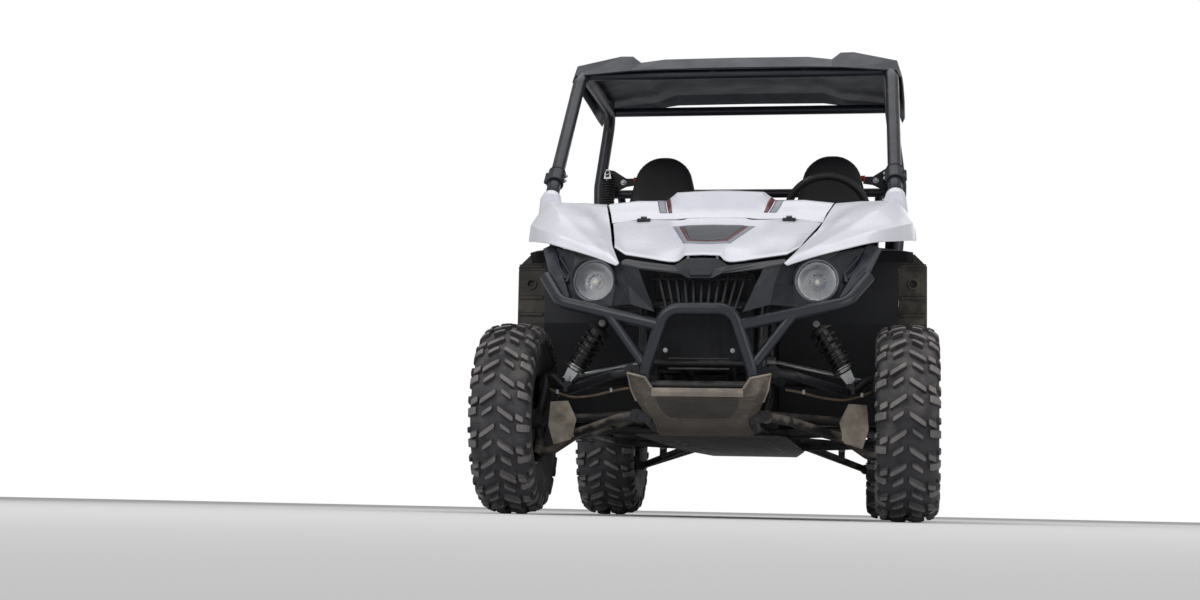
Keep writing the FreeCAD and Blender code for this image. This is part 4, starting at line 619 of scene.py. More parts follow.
class Shape:
    """Gathers the faces of one piece, then makes its object."""

    def __init__(self, name: str, *finishes: Coating) -> None:
        """Start an empty piece.

        Args:
            name: The piece's name.
            *finishes: Its finishes, numbered in order.
        """
        self.name = name
        self.finishes = finishes
        self.points: list[Vector] = []
        self.faces: list[tuple[int, ...]] = []
        self.finish_of: list[int] = []

    def add(self, points: Iterable[Vector], faces: Iterable[tuple[int, ...]], finish: int = 0) -> "Shape":
        """Add points and the faces between them.

        Args:
            points: The points, in metres.
            faces: Numbers of each face's points, from the first one given here.
            finish: Number of the finish.

        Returns:
            The shape itself.
        """
        first = len(self.points)
        self.points += [Vector(p) for p in points]
        made = [tuple(first + i for i in face) for face in faces]
        self.faces += made
        self.finish_of += [finish] * len(made)
        return self

    def grid(self, rows: Any, finish: int = 0, closed: bool = False) -> "Shape":
        """Add a net of faces.

        Args:
            rows: Rows of points, all of one length.
            finish: Number of the finish.
            closed: Whether the last column joins the first.

        Returns:
            The shape itself.
        """
        width = len(rows[0])
        last = width if closed else width - 1
        faces = []
        for i in range(len(rows) - 1):
            for j in range(last):
                k = (j + 1) % width
                faces.append((i * width + j, i * width + k, (i + 1) * width + k, (i + 1) * width + j))
        return self.add([point for row in rows for point in row], faces, finish)

    def loft(self, rings: Sequence[Sequence[Vector]], finish: int = 0) -> "Shape":
        """Add a closed solid through rings of points.

        Args:
            rings: Rings of points, all of one length.
            finish: Number of the finish.

        Returns:
            The shape itself.
        """
        self.grid(rings, finish, closed=True)
        self.add(rings[0], [tuple(reversed(range(len(rings[0]))))], finish)
        return self.add(rings[-1], [tuple(range(len(rings[-1])))], finish)

    def tube(self, line: Sequence[Vector], radius: float, sides: int = 12, finish: int = 0) -> "Shape":
        """Add a round bar along a line.

        Args:
            line: Points of the line.
            radius: The bar's radius, in metres.
            sides: Faces round the bar.
            finish: Number of the finish.

        Returns:
            The shape itself.
        """
        rings, side = [], None
        for before, point, after in zip([line[0], *line], line, [*line[1:], line[-1]]):
            along = (after - before).normalized()
            side = side_axes(along)[0] if side is None else (side - along * side.dot(along)).normalized()
            up = along.cross(side)
            rings.append([point + (side * c + up * s) * radius for c, s in circle(sides)])
        return self.loft(rings, finish)

    def spun(
        self, profile: Sequence[tuple[float, float]], start: Vector, axis: Vector,
        steps: int = 32, finish: int = 0,
    ) -> "Shape":
        """Add a turned form.

        Args:
            profile: Distance along the axis and radius of each ring, in millimetres.
            start: Where the distance is zero.
            axis: Direction of the axis.
            steps: Faces round the axis.
            finish: Number of the finish.

        Returns:
            The shape itself.
        """
        along = axis.normalized()
        first, second = side_axes(along)
        rings = [
            [start + along * d / 1000 + (first * c + second * s) * r / 1000 for c, s in circle(steps)]
            for d, r in profile
        ]
        return self.grid(rings, finish, closed=True)

    def prism(self, outline: Sequence[Vector], push: Vector, finish: int = 0) -> "Shape":
        """Add a flat outline pushed into a solid."""
        return self.loft([list(outline), [p + push for p in outline]], finish)

    def block(
        self, centre: Vector, size: Sequence[float], finish: int = 0, turn: Matrix | None = None
    ) -> "Shape":
        """Add a box.

        Args:
            centre: Its middle.
            size: Its three sizes, in millimetres.
            finish: Number of the finish.
            turn: Rotation, or none.

        Returns:
            The shape itself.
        """
        x, y, z = (v / 2000 for v in size)
        outline = [Vector(p) for p in ((-x, -y, -z), (x, -y, -z), (x, y, -z), (-x, y, -z))]
        rings = [outline, [p + UP * 2 * z for p in outline]]
        turn = turn or Matrix.Identity(3)
        return self.loft([[centre + turn @ p for p in ring] for ring in rings], finish)

    def bolt(self, place: Vector, axis: Vector, across: float, finish: int = 0) -> "Shape":
        """Add a hexagon head on its washer.

        Args:
            place: Where the washer touches.
            axis: Direction out of the surface.
            across: Distance across the head, in millimetres.
            finish: Number of the finish.

        Returns:
            The shape itself.
        """
        half = across / 2
        washer = [(0, half * 1.5), (half * 0.3, half * 1.5), (half * 0.3, 0)]
        head = [(half * 0.3, half), (half * 1.1, half), (half * 1.3, half * 0.8), (half * 1.3, 0)]
        self.spun(washer, place, axis, 16, finish)
        return self.spun(head, place, axis, 6, finish)

    def mirror(self) -> "Shape":
        """Add the mirror image of all that is there.

        Returns:
            The shape itself.
        """
        first = len(self.points)
        self.points += [Vector((-p.x, p.y, p.z)) for p in self.points]
        self.faces += [tuple(first + i for i in reversed(face)) for face in self.faces]
        self.finish_of += self.finish_of
        return self

    def make(
        self, body: str = CHASSIS, slot: str = "", replaces: Iterable[str] = (), wall: float = 0.0,
        bevel: float = 0.0, smooth: float = 35.0, subdivide: int = 0,
    ) -> bpy.types.Object:
        """Make the object.

        Args:
            body: Body that it moves with.
            slot: Name of a material slot; not used.
            replaces: CAD nodes that it stands for.
            wall: Thickness given to a sheet, inwards, in millimetres.
            bevel: Width of the rounded edges, in millimetres.
            smooth: Edges turning less than this many degrees are shaded smooth.
            subdivide: Levels of subdivision.

        Returns:
            The object.
        """
        mesh = bpy.data.meshes.new(self.name)
        mesh.from_pydata(self.points, [], self.faces)
        for finish in self.finishes:
            mesh.materials.append(finish.build())
        mesh.polygons.foreach_set("material_index", self.finish_of)
        net = bmesh.new()
        net.from_mesh(mesh)
        bmesh.ops.remove_doubles(net, verts=net.verts, dist=2e-5)
        if not wall:
            bmesh.ops.recalc_face_normals(net, faces=net.faces)
        net.to_mesh(mesh)
        net.free()
        mesh.polygons.foreach_set("use_smooth", [True] * len(mesh.polygons))
        mesh.set_sharp_from_angle(angle=math.radians(smooth))
        obj = bpy.data.objects.new(self.name, mesh)
        bpy.context.scene.collection.objects.link(obj)
        if subdivide:
            modifier = obj.modifiers.new("subdivide", "SUBSURF")
            modifier.levels = modifier.render_levels = subdivide
        if wall:
            modifier = obj.modifiers.new("wall", "SOLIDIFY")
            modifier.thickness = wall / 1000
            modifier.offset = -1.0
            modifier.use_even_offset = True
        if bevel:
            modifier = obj.modifiers.new("rounding", "BEVEL")
            modifier.width = bevel / 1000
            modifier.segments = 2
            modifier.limit_method = "ANGLE"
            modifier.angle_limit = math.radians(smooth)
            modifier.harden_normals = True
        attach(obj, body)
        if replaces:
            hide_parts(*replaces)
        LOG.info("piece %s", self.name)
        return obj


@dataclass
class Tyre:
    """A tyre with angled lugs.

    Attributes:
        node: CAD node that it replaces.
        body: Wheel that it turns with.
        centre: Middle of the wheel.
        width: Section width, in millimetres.
        radius: Out to the tips of the lugs.
        bead: Radius of the rim's seat.
        depth: Height of a lug.
        pitches: How often the pattern repeats.
        film: How far a lug's worn top lies over its body, in metres.
    """

    node: str
    body: str
    centre: Place
    width: float
    radius: float = WHEEL_RADIUS
    bead: float = 155.0
    depth: float = 15.0
    pitches: int = 18
    film: float = 0.0004
    # columns: from across and along, to across and along, width, height at both ends
    lugs: tuple[tuple[float, ...], ...] = (
        (5, -16, 54, 20, 22, 15, 15), (14, 38, 46, 62, 19, 15, 15), (62, 10, 84, 22, 24, 14, 13),
        (66, 48, 122, 58, 30, 14, 6), (94, 4, 132, 10, 22, 11, 5),
    )

    def carcass(self) -> np.ndarray:
        """The carcass's outer line from one bead to the other.

        Returns:
            Rows of distance across and radius, in millimetres.
        """
        crown = self.radius - self.depth
        # columns: share of the half width, radius
        rows = [
            (0.74, self.bead), (0.80, self.bead + 4), (0.88, self.bead + 22), (0.955, self.bead + 52),
            (0.975, self.bead + 80), (0.96, crown - 46), (0.92, crown - 26), (0.82, crown - 11),
            (0.60, crown - 4), (0.30, crown), (0.0, crown),
        ]
        half = [(share * self.width / 2, radius) for share, radius in rows]
        line = np.array(half + [(-x, radius) for x, radius in half[-2::-1]])
        return spline(line, 3)

    def on_tread(
        self, line: np.ndarray, reach: np.ndarray, across: float, along: float, height: float
    ) -> Vector:
        """A point above the carcass.

        Args:
            line: The carcass's line.
            reach: Distance of each of its points from the crown.
            across: Distance from the crown over the carcass, in millimetres.
            along: Distance round the tread, in millimetres.
            height: Height above the carcass, in millimetres.

        Returns:
            The point, in metres.
        """
        x, radius = (np.interp(across, reach, line[:, i]) for i in (0, 1))
        before, after = ([np.interp(across + step, reach, line[:, i]) for i in (0, 1)] for step in (-1, 1))
        near_x, near_radius = after[0] - before[0], after[1] - before[1]
        size = math.hypot(near_x, near_radius)
        x, radius = x - near_radius / size * height, radius + near_x / size * height
        turn = along / self.radius
        return Vector((x, radius * math.cos(turn), radius * math.sin(turn))) / 1000 + at(*self.centre)

    def build(self) -> None:
        """Make the carcass and its lugs."""
        line = self.carcass()[::-1]
        steps = np.hypot(*np.diff(line, axis=0).T)
        reach = np.concatenate([[0], np.cumsum(steps)])
        reach = reach - reach[-1] / 2
        shape = Shape(self.node + "_tread", TYRE_RUBBER, LUG_RUBBER)
        shape.spun([(x, radius) for x, radius in line], at(*self.centre), LEFT, 72)
        pitch = 2 * math.pi * self.radius / self.pitches
        for n in range(self.pitches):
            for side, shift in ((1, 0.0), (-1, 0.5)):
                for row in self.lugs:
                    self.lug(shape, line, reach, row, side, (n + shift) * pitch)
        shape.make(self.body, "tyre", [self.node], smooth=30)

    def lug(
        self, shape: Shape, line: np.ndarray, reach: np.ndarray, row: tuple[float, ...], side: int,
        start: float,
    ) -> None:
        """Add one lug with its sloped sides and its worn top.

        Args:
            shape: The tread.
            line: The carcass's line.
            reach: Distance of each of its points from the crown.
            row: The lug's entry in the table.
            side: 1 for the left half of the tread and -1 for the right one.
            start: Where its pitch starts, round the tread.
        """
        u_start, a_start, u_end, a_end, width, high_start, high_end = row
        wide = self.width / FRONT_TYRE_WIDTH
        rings = []
        for t in (0.0, 0.12, 0.5, 0.88, 1.0):
            lift, narrow = (0.82, 2.5) if t in (0.0, 1.0) else (1.0, 0.0)
            high = high_start + (high_end - high_start) * t
            middle = start + a_start + (a_end - a_start) * t
            u = (u_start + (u_end - u_start) * t) * wide
            half = width / 2 - narrow
            # columns: distance from the lug's middle line, share of its height
            section = [
                (-half - 2, -0.15), (-half + 1, 0.9), (-half + 3, 1.0),
                (half - 3, 1.0), (half - 1, 0.9), (half + 2, -0.15),
            ]
            rings.append([
                self.on_tread(line, reach, side * u, middle + a, high * share * (lift if share > 0 else 1))
                for a, share in section
            ])
        shape.loft(rings)
        hub = at(*self.centre)
        shape.grid([[p + (p - hub).normalized() * self.film for p in ring[2:4]] for ring in rings], 1)


@dataclass
class FrontBody:
    """The white panels of the nose: hood, cowl and fenders.

    Attributes:
        wall: Thickness of a panel, in millimetres.
        edge: Rounding of its edges, in millimetres.
        tab_x: Distance of each hinge tab's inner face from the centre plane.
        pillar_foot: Where the left pillar comes out of its fender.
        pillar_way: Direction of that pillar.
        skirt_radius: Reach of the boss round it, in metres.
    """

    wall: float = 4.0
    edge: float = 1.6
    tab_x: float = 44.0
    pillar_foot: Place = (622.0, 346.0, 1146.0)
    pillar_way: Place = (-0.02, 0.65, 0.76)
    skirt_radius: float = 0.046
    # columns: middle, plinth corner, low point, ridge, outer edge, corner
    hood_table: Table = field(default_factory=lambda: [
        [(0, -275, 852), (58, -273, 850), (92, -279, 828),
         (190, -216, 849), (268, -163, 868), (311, -129, 899)],
        [(0, -262, 859), (59, -260, 857), (93, -266, 836),
         (191, -206, 857), (269, -152, 876), (312, -119, 904)],
        [(0, -150, 906), (66, -150, 904), (100, -160, 893),
         (205, -120, 893), (285, -90, 905), (321, -60, 930)],
        [(0, 20, 975), (84, 20, 973), (118, 10, 966), (220, 20, 962), (300, 40, 968), (341, 50, 973)],
        [(0, 202, 1051), (102, 202, 1049), (132, 202, 1043),
         (235, 200, 1045), (330, 196, 1039), (367, 192, 1029)],
    ])
    # columns: middle, hump edge, hump foot, flat, seam
    cowl_table: Table = field(default_factory=lambda: [
        [(0, 210, 1053), (110, 210, 1052), (146, 210, 1048), (270, 208, 1048), (372, 202, 1033)],
        [(0, 250, 1085), (120, 250, 1082), (175, 250, 1078), (280, 250, 1080), (384, 245, 1072)],
        [(0, 290, 1160), (150, 296, 1157), (188, 300, 1108), (290, 300, 1110), (398, 298, 1104)],
        [(0, 345, 1174), (158, 350, 1168), (196, 350, 1138), (300, 345, 1138), (406, 342, 1126)],
        [(0, 450, 1176), (160, 450, 1170), (200, 450, 1142), (300, 450, 1142), (407, 450, 1130)],
    ])
    # columns: inner seam, crease, ridge, side line, lower edge
    fender_table: Table = field(default_factory=lambda: [
        [(268, -306, 819), (270, -308, 818), (273, -309, 816), (276, -309, 814), (279, -308, 811)],
        [(294, -214, 862), (312, -228, 866), (335, -235, 866), (350, -240, 858), (361, -243, 849)],
        [(318, -129, 903), (338, -120, 912), (390, -130, 918), (430, -160, 905), (452, -178, 883)],
        [(348, 30, 965), (392, 10, 975), (470, 0, 985), (535, -50, 955), (545, -90, 918)],
        [(364, 115, 1000), (440, 130, 1042), (550, 130, 1055), (628, 110, 1002), (622, 90, 948)],
        [(393, 240, 1075), (478, 260, 1098), (610, 250, 1118), (676, 250, 1035), (682, 248, 975)],
        [(413, 335, 1123), (500, 335, 1130), (640, 330, 1130), (690, 340, 1045), (694, 345, 988)],
        [(414, 425, 1128), (500, 428, 1128), (640, 428, 1120), (694, 428, 1048), (698, 428, 1002)],
    ])

    def build(self) -> None:
        """Make the panels and what is on them."""
        self.hood()
        self.cowl()
        self.fenders()
        self.latches()
        self.graphics()

    def hood(self) -> None:
        """The tipping hood with its two hinge tabs."""
        table = whole_width(self.hood_table)
        points = skin_points(table, (6, 5), (1,), (1, 2, 4, 5, 6, 8, 9))
        shape = Shape("hood_skin", WHITE_ABS).grid(points)
        shape.make("hood", "white_plastic", wall=self.wall, bevel=self.edge, smooth=40)
        tabs = Shape("hood_tabs", WHITE_ABS)
        # columns: aft, height
        tab = ((-260, 832), (-254, 862), (-210, 872), (-244, 832))
        eye = [(0, 5.3), (0, 11), (8, 11), (8, 5.3)]
        for side in SIDES:
            x = side * self.tab_x
            tabs.prism([at(x, aft, z) for aft, z in tab], Vector((side * 0.008, 0, 0)))
            tabs.spun(eye, at(x, -252, 836), Vector((side, 0, 0)), 20)
        tabs.make("hood", "white_plastic", ["hood"], bevel=0.6)

    def cowl(self) -> None:
        """The fixed cowl with its hump and the lip down to the dashboard."""
        table = whole_width(self.cowl_table)
        points = skin_points(table, (5, 4), (1, 2), (1, 2, 3, 5, 6, 7))
        skin = Shape("cowl_skin", WHITE_ABS).grid(points)
        skin.make(CHASSIS, "white_plastic", ["cowl"], self.wall, self.edge, 40)
        side = [(160, 1168), (200, 1140), (300, 1140), (405, 1128), (405, 1100)]
        outline = [at(x, 450.8, z) for x, z in side + [(-x, z) for x, z in side[::-1]]]
        lip = Shape("cowl_lip", WHITE_ABS).prism(outline, Vector((0, 0.0038, 0)))
        lip.make(CHASSIS, "white_plastic", bevel=1.0)

    def fenders(self) -> None:
        """Both front fenders with the boss round each pillar."""
        points = skin_points(self.fender_table, (6, 5), (), (1, 2, 3))
        shape = Shape("front_fender_skins", WHITE_ABS).grid(points).mirror()
        shape.make(CHASSIS, "white_plastic", ["front_fenders"], self.wall, self.edge, 32)
        self.collars()

    def collars(self) -> None:
        """The boss round each pillar, spread onto the fender like a skirt."""
        middle, axis = at(*self.pillar_foot), Vector(self.pillar_way).normalized()
        first, second = side_axes(axis)
        # columns: distance up the pillar, radius
        profile = [(-14, 39), (4, 35), (11, 34), (15, 32), (15, 26.5)]
        ways = [first * c + second * s for c, s in circle(32)]
        hem = [(middle + way * self.skirt_radius) * 1000 for way in ways]
        rings = [[self.over(self.fender_table, (), p.x, p.y - FRONT_AXLE_Y * 1000, -1.5) for p in hem]]
        for reach, radius in profile:
            rings.append([middle + (axis * reach + way * radius) / 1000 for way in ways])
        collar = Shape("pillar_collars", WHITE_ABS).grid(rings, 0, closed=True)
        collar.mirror().make(CHASSIS, "white_plastic", smooth=50)

    def over(self, table: Table, creases: Iterable[int], x: float, aft: float, lift: float) -> Vector:
        """A point over a panel's upper side.

        Args:
            table: The panel's left half.
            creases: Rows of the table that are creases.
            x: Distance to the left, in millimetres.
            aft: Distance behind the front axle.
            lift: Height over the panel.

        Returns:
            The point, in metres.
        """
        columns = np.swapaxes(spline(np.array(table), 6, creases), 0, 1)
        outs, heights = ([float(np.interp(aft, c[:, 1], c[:, k])) for c in columns] for k in (0, 2))
        return at(x, aft, float(np.interp(abs(x), outs, heights)) + lift)

    def latches(self) -> None:
        """The two quarter-turn latches at the hood's rear edge, with their dark seats."""
        knob = [(0, 11), (5, 11), (6, 9), (6, 0)]
        for hand, side in HANDS:
            shape = Shape(f"hood_latch_{hand}", BLACK_PP, BRIGHT_STEEL)
            place, turn = at(side * 256, 184, 1041), tipped(16)
            shape.block(place, (46, 26, 10), 0, turn)
            shape.spun(knob, place + Vector((0, 0, 0.005)), Vector((0, -0.27, 0.96)), 24)
            shape.block(place + Vector((0, -0.003, 0.011)), (22, 5, 5), 1, turn)
            shape.make("hood", "black_moulding", bevel=1.2)

    def graphics(self) -> None:
        """The hood's dark patch with its red and grey borders, and the cowl's two stripes."""
        # columns: name, finish, lift, half width and aft of the rear and side corners, aft of the point
        patches = [
            ("hood_patch_grey", GREY_FILM, 0.9, (143, 105), (78, -136), -158),
            ("hood_patch_red", RED_FILM, 1.4, (121, 98), (68, -108), -128),
            ("hood_patch_dark", DARK_FILM, 1.9, (110, 98), (60, -98), -118),
        ]
        for name, finish, lift, rear, corner, point in patches:
            rows = []
            for t in np.linspace(0, 1, 17):
                row = []
                for u in np.linspace(-1, 1, 25):
                    front = point + (corner[1] - point) * abs(u)
                    aft = front + (rear[1] - front) * t
                    wide = float(np.interp(aft, (corner[1], rear[1]), (corner[0], rear[0])))
                    row.append(self.over(self.hood_table, (1,), u * wide, aft, lift))
                rows.append(row)
            Shape(name, finish).grid(rows).make("hood", "black_moulding", wall=0.3)
        # columns: name, finish, inner and outer edge in front, inner and outer edge at the rear
        stripes = [("grey", GREY_FILM, (180, 208), (220, 248)), ("red", RED_FILM, (163, 176), (202, 217))]
        for name, finish, front, rear in stripes:
            shape = Shape(f"cowl_stripes_{name}", finish)
            for side in SIDES:
                rows = []
                for t in np.linspace(0, 1, 22):
                    outs = np.linspace(*(a + (b - a) * t for a, b in zip(front, rear)), 4)
                    aft = 246 + 182 * t
                    rows.append([self.over(self.cowl_table, (1, 2), side * x, aft, 1.2) for x in outs])
                shape.grid(rows)
            shape.make(CHASSIS, "black_moulding", wall=0.4)


@dataclass
class Nose:
    """The details of the black nose moulding: lamps, ribs, grille and shield.

    Attributes:
        lamp: Middle of the left lamp's lens.
        lamp_radius: Outer radius of its ring.
        bowl_radius: Radius of its reflector.
        bowl_depth: Depth of the reflector.
        flute: How far every second facet of the reflector stands back.
        rib_radius: Radius of the ribs outboard of the lamps, in metres.
        brace_radius: Radius of the bars above the ribs, in metres.
    """

    lamp: Place = (368.0, -175.0, 776.0)
    lamp_radius: float = 74.0
    bowl_radius: float = 63.0
    bowl_depth: float = 36.0
    flute: float = 3.0
    rib_radius: float = 0.005
    brace_radius: float = 0.009
    # columns: out, aft, up from the strut's middle line
    strut_section: tuple[Place, ...] = ((-20, -36, 9), (20, -36, -9), (25, 4, -7), (-22, 4, 11))

    def build(self) -> None:
        """Make the details of the nose."""
        self.lamps()
        self.ribs()
        self.grille()
        self.plinth()

    def lamps(self) -> None:
        """Both round lamps: lens, grey ring, stepped reflector and bulb hood."""
        x, aft, z = self.lamp
        radius = self.lamp_radius
        # columns of the turned forms: distance behind the lens's edge, radius
        rim = [(48, radius), (-4, radius), (-9, radius - 2), (-9, radius - 7), (-2, radius - 9)]
        shell = [(48, radius), (50, radius - 3), (50, 0)]
        bulb = [(6, 0), (7, 7), (12, 11), (30, 12), (42, 12)]
        glass = [
            (-24, 0), (-23, 20), (-19, 40), (-13, 54), (-5, 63),
            (-2, 63), (-10, 53), (-16, 39), (-20, 20), (-21, 0),
        ]
        for hand, side in HANDS:
            centre = at(side * x, aft, z)
            bowl = Shape(f"lamp_bowl_{hand}", REFLECTOR, LAMP_RING, BULB_WHITE)
            bowl.spun(rim, centre, AFT, 48, 1)
            bowl.spun(shell, centre, AFT, 48, 1)
            rings = []
            for ring, r in enumerate((self.bowl_radius, 56, 47, 38, 29, 20, 10)):
                depth = self.bowl_depth * (1 - (r / self.bowl_radius)**2)
                steps = [depth + (self.flute if (n + ring // 2) % 2 else 0.0) for n in range(36)]
                rings.append([
                    centre + Vector((r * c, step, r * s)) / 1000 for step, (c, s) in zip(steps, circle(36))
                ])
            bowl.grid(rings, 0, closed=True)
            bowl.spun(bulb, centre, AFT, 24, 2)
            bowl.make(CHASSIS, "lamp_clear", ["headlights"] if side > 0 else [], smooth=20)
            lens = Shape(f"lamp_lens_{hand}", CLEAR_LENS).spun(glass, centre, AFT, 48)
            lens.make(CHASSIS, "lamp_clear")

    def ribs(self) -> None:
        """The ribbed panel outboard of each lamp and the strut above it."""
        # Ribs, struts and bars in a paler copy of the black plastic: a painted highlight where the light
        # grazes them
        shape = Shape("nose_ribs", HIGHLIT_NOSE_PP)
        # columns of these three tables: from place, to place
        ribs = [
            ((452, -158, 800), (500, -98, 868)), ((466, -166, 786), (514, -108, 848)),
            ((478, -174, 768), (526, -114, 832)), ((484, -192, 742), (532, -126, 812)),
        ]
        struts = [((462, -200, 708), (509, -102, 810)), ((509, -102, 810), (552, -8, 914))]
        braces = [((446, -104, 852), (528, -30, 904)), ((446, -104, 852), (462, -176, 770))]
        for line in ribs:
            shape.tube(route(line), self.rib_radius, 8)
        for start, end in struts:
            outline = [at(start[0] + x, start[1] + aft, start[2] + z) for x, aft, z in self.strut_section]
            shape.prism(outline, at(*end) - at(*start))
        for line in braces:
            shape.tube(route(line), self.brace_radius, 6)
        shape.mirror().make(CHASSIS, "black_moulding", bevel=1.5, smooth=50)

    def grille(self) -> None:
        """Upright blades and the two cross bars behind them in the nose's opening."""
        shape = Shape("grille_blades", FLOOR_PP)
        for n in range(-5, 6):
            share, deep = n / 6, (0.012, 0.022)[n % 2]
            top, foot = at(172 * share, -262, 788), at(132 * share, -290, 666)
            corners = ((-0.004, -0.008), (0.004, -0.008), (0.004, deep), (-0.004, deep))
            section = [Vector((x, y, 0)) for x, y in corners]
            shape.loft([[top + p for p in section], [foot + p for p in section]])
        for x, aft, z in ((164, -256, 772), (134, -284, 676)):
            shape.tube([at(-x, aft, z), at(x, aft, z)], 0.006, 8)
        shape.make(CHASSIS, "black_moulding", ["grille"], bevel=0.8)

    def plinth(self) -> None:
        """The raised plain shield in the middle of the bar."""
        shape = Shape("nose_shield", BLACK_PP)
        outline = [(-34, 774), (34, 774), (46, 800), (42, 832), (-42, 832), (-46, 800)]
        foot, middle, lean = 774, 803, 0.56
        rings = [
            [
                at(x * grow, -326 + (z - foot) * lean - depth, middle + (z - middle) * grow)
                for x, z in outline
            ]
            for depth, grow in ((-1, 1.0), (3, 0.98), (5, 0.9))
        ]
        shape.loft(rings).make(CHASSIS, "black_moulding", bevel=1.0)


@dataclass
class Shock:
    """A pair of coil-over shock absorbers.

    Attributes:
        node: CAD node that they replace.
        top: Middle of the left upper eye.
        foot: Middle of the left lower eye.
        wide_turns: Turns of the spring that stand apart, under its upper seat.
        close_turns: Turns wound closely, over its lower seat.
        coil_radius: Radius of the spring to the middle of its wire, in metres.
        wire_radius: Radius of the wire, in metres.
    """

    node: str
    top: Place
    foot: Place
    wide_turns: float
    close_turns: float
    coil_radius: float = 0.0355
    wire_radius: float = 0.0045

    def build(self) -> None:
        """Make body, spring, seats, eyes and the flat lower fork."""
        shape = Shape(self.node + "_pair", SPRING_STEEL, BRIGHT_STEEL, CAST_IRON)
        top, foot = at(*self.top), at(*self.foot)
        axis, long = (foot - top).normalized(), (foot - top).length * 1000
        first, second = side_axes(axis)
        # columns: share of the length, radius, finish
        body = [
            (0.04, 10, 2), (0.07, 26, 2), (0.10, 33, 2), (0.105, 40, 2), (0.135, 40, 2), (0.135, 23, 0),
            (0.50, 23, 0), (0.51, 28, 0), (0.76, 28, 0), (0.77, 38, 1), (0.785, 38, 1), (0.79, 33, 0),
            (0.80, 33, 0), (0.805, 40, 1), (0.82, 40, 1), (0.825, 34, 0), (0.84, 34, 1), (0.85, 22, 2),
            (0.88, 12, 2),
        ]
        for (share, radius, _), (next_share, next_radius, finish) in zip(body, body[1:]):
            shape.spun([(share * long, radius), (next_share * long, next_radius)], top, axis, 28, finish)
        turns = self.wide_turns + self.close_turns
        steps = np.linspace(0, turns, int(turns * 14))
        seats = (0.145 * long, 0.60 * long, 0.765 * long)
        coil = []
        for n, d in zip(steps, np.interp(steps, (0, self.wide_turns, turns), seats)):
            way = first * math.cos(2 * math.pi * n) + second * math.sin(2 * math.pi * n)
            coil.append(top + axis * d / 1000 + way * self.coil_radius)
        shape.tube(coil, self.wire_radius, 8)
        for eye, radius in ((top, 16), (foot, 14)):
            ring = [(-19, 6), (-19, radius), (19, radius), (19, 6)]
            shape.spun(ring, eye, AFT, 24, 2)
            shape.bolt(eye + Vector((0, -0.024, 0)), Vector((0, -1, 0)), 15, 1)
        across = Vector((0, 1, 0)).cross(axis).normalized()
        near, far = top + axis * 0.86 * long / 1000, foot + axis * 0.006
        for side in SIDES:
            plate = [near + across * 0.020, near - across * 0.020, far - across * 0.015, far + across * 0.015]
            shape.prism([p + Vector((0, side * 0.0205, 0)) for p in plate], Vector((0, side * 0.003, 0)), 1)
        shape.mirror().make(CHASSIS, "spring_steel", [self.node], smooth=40)


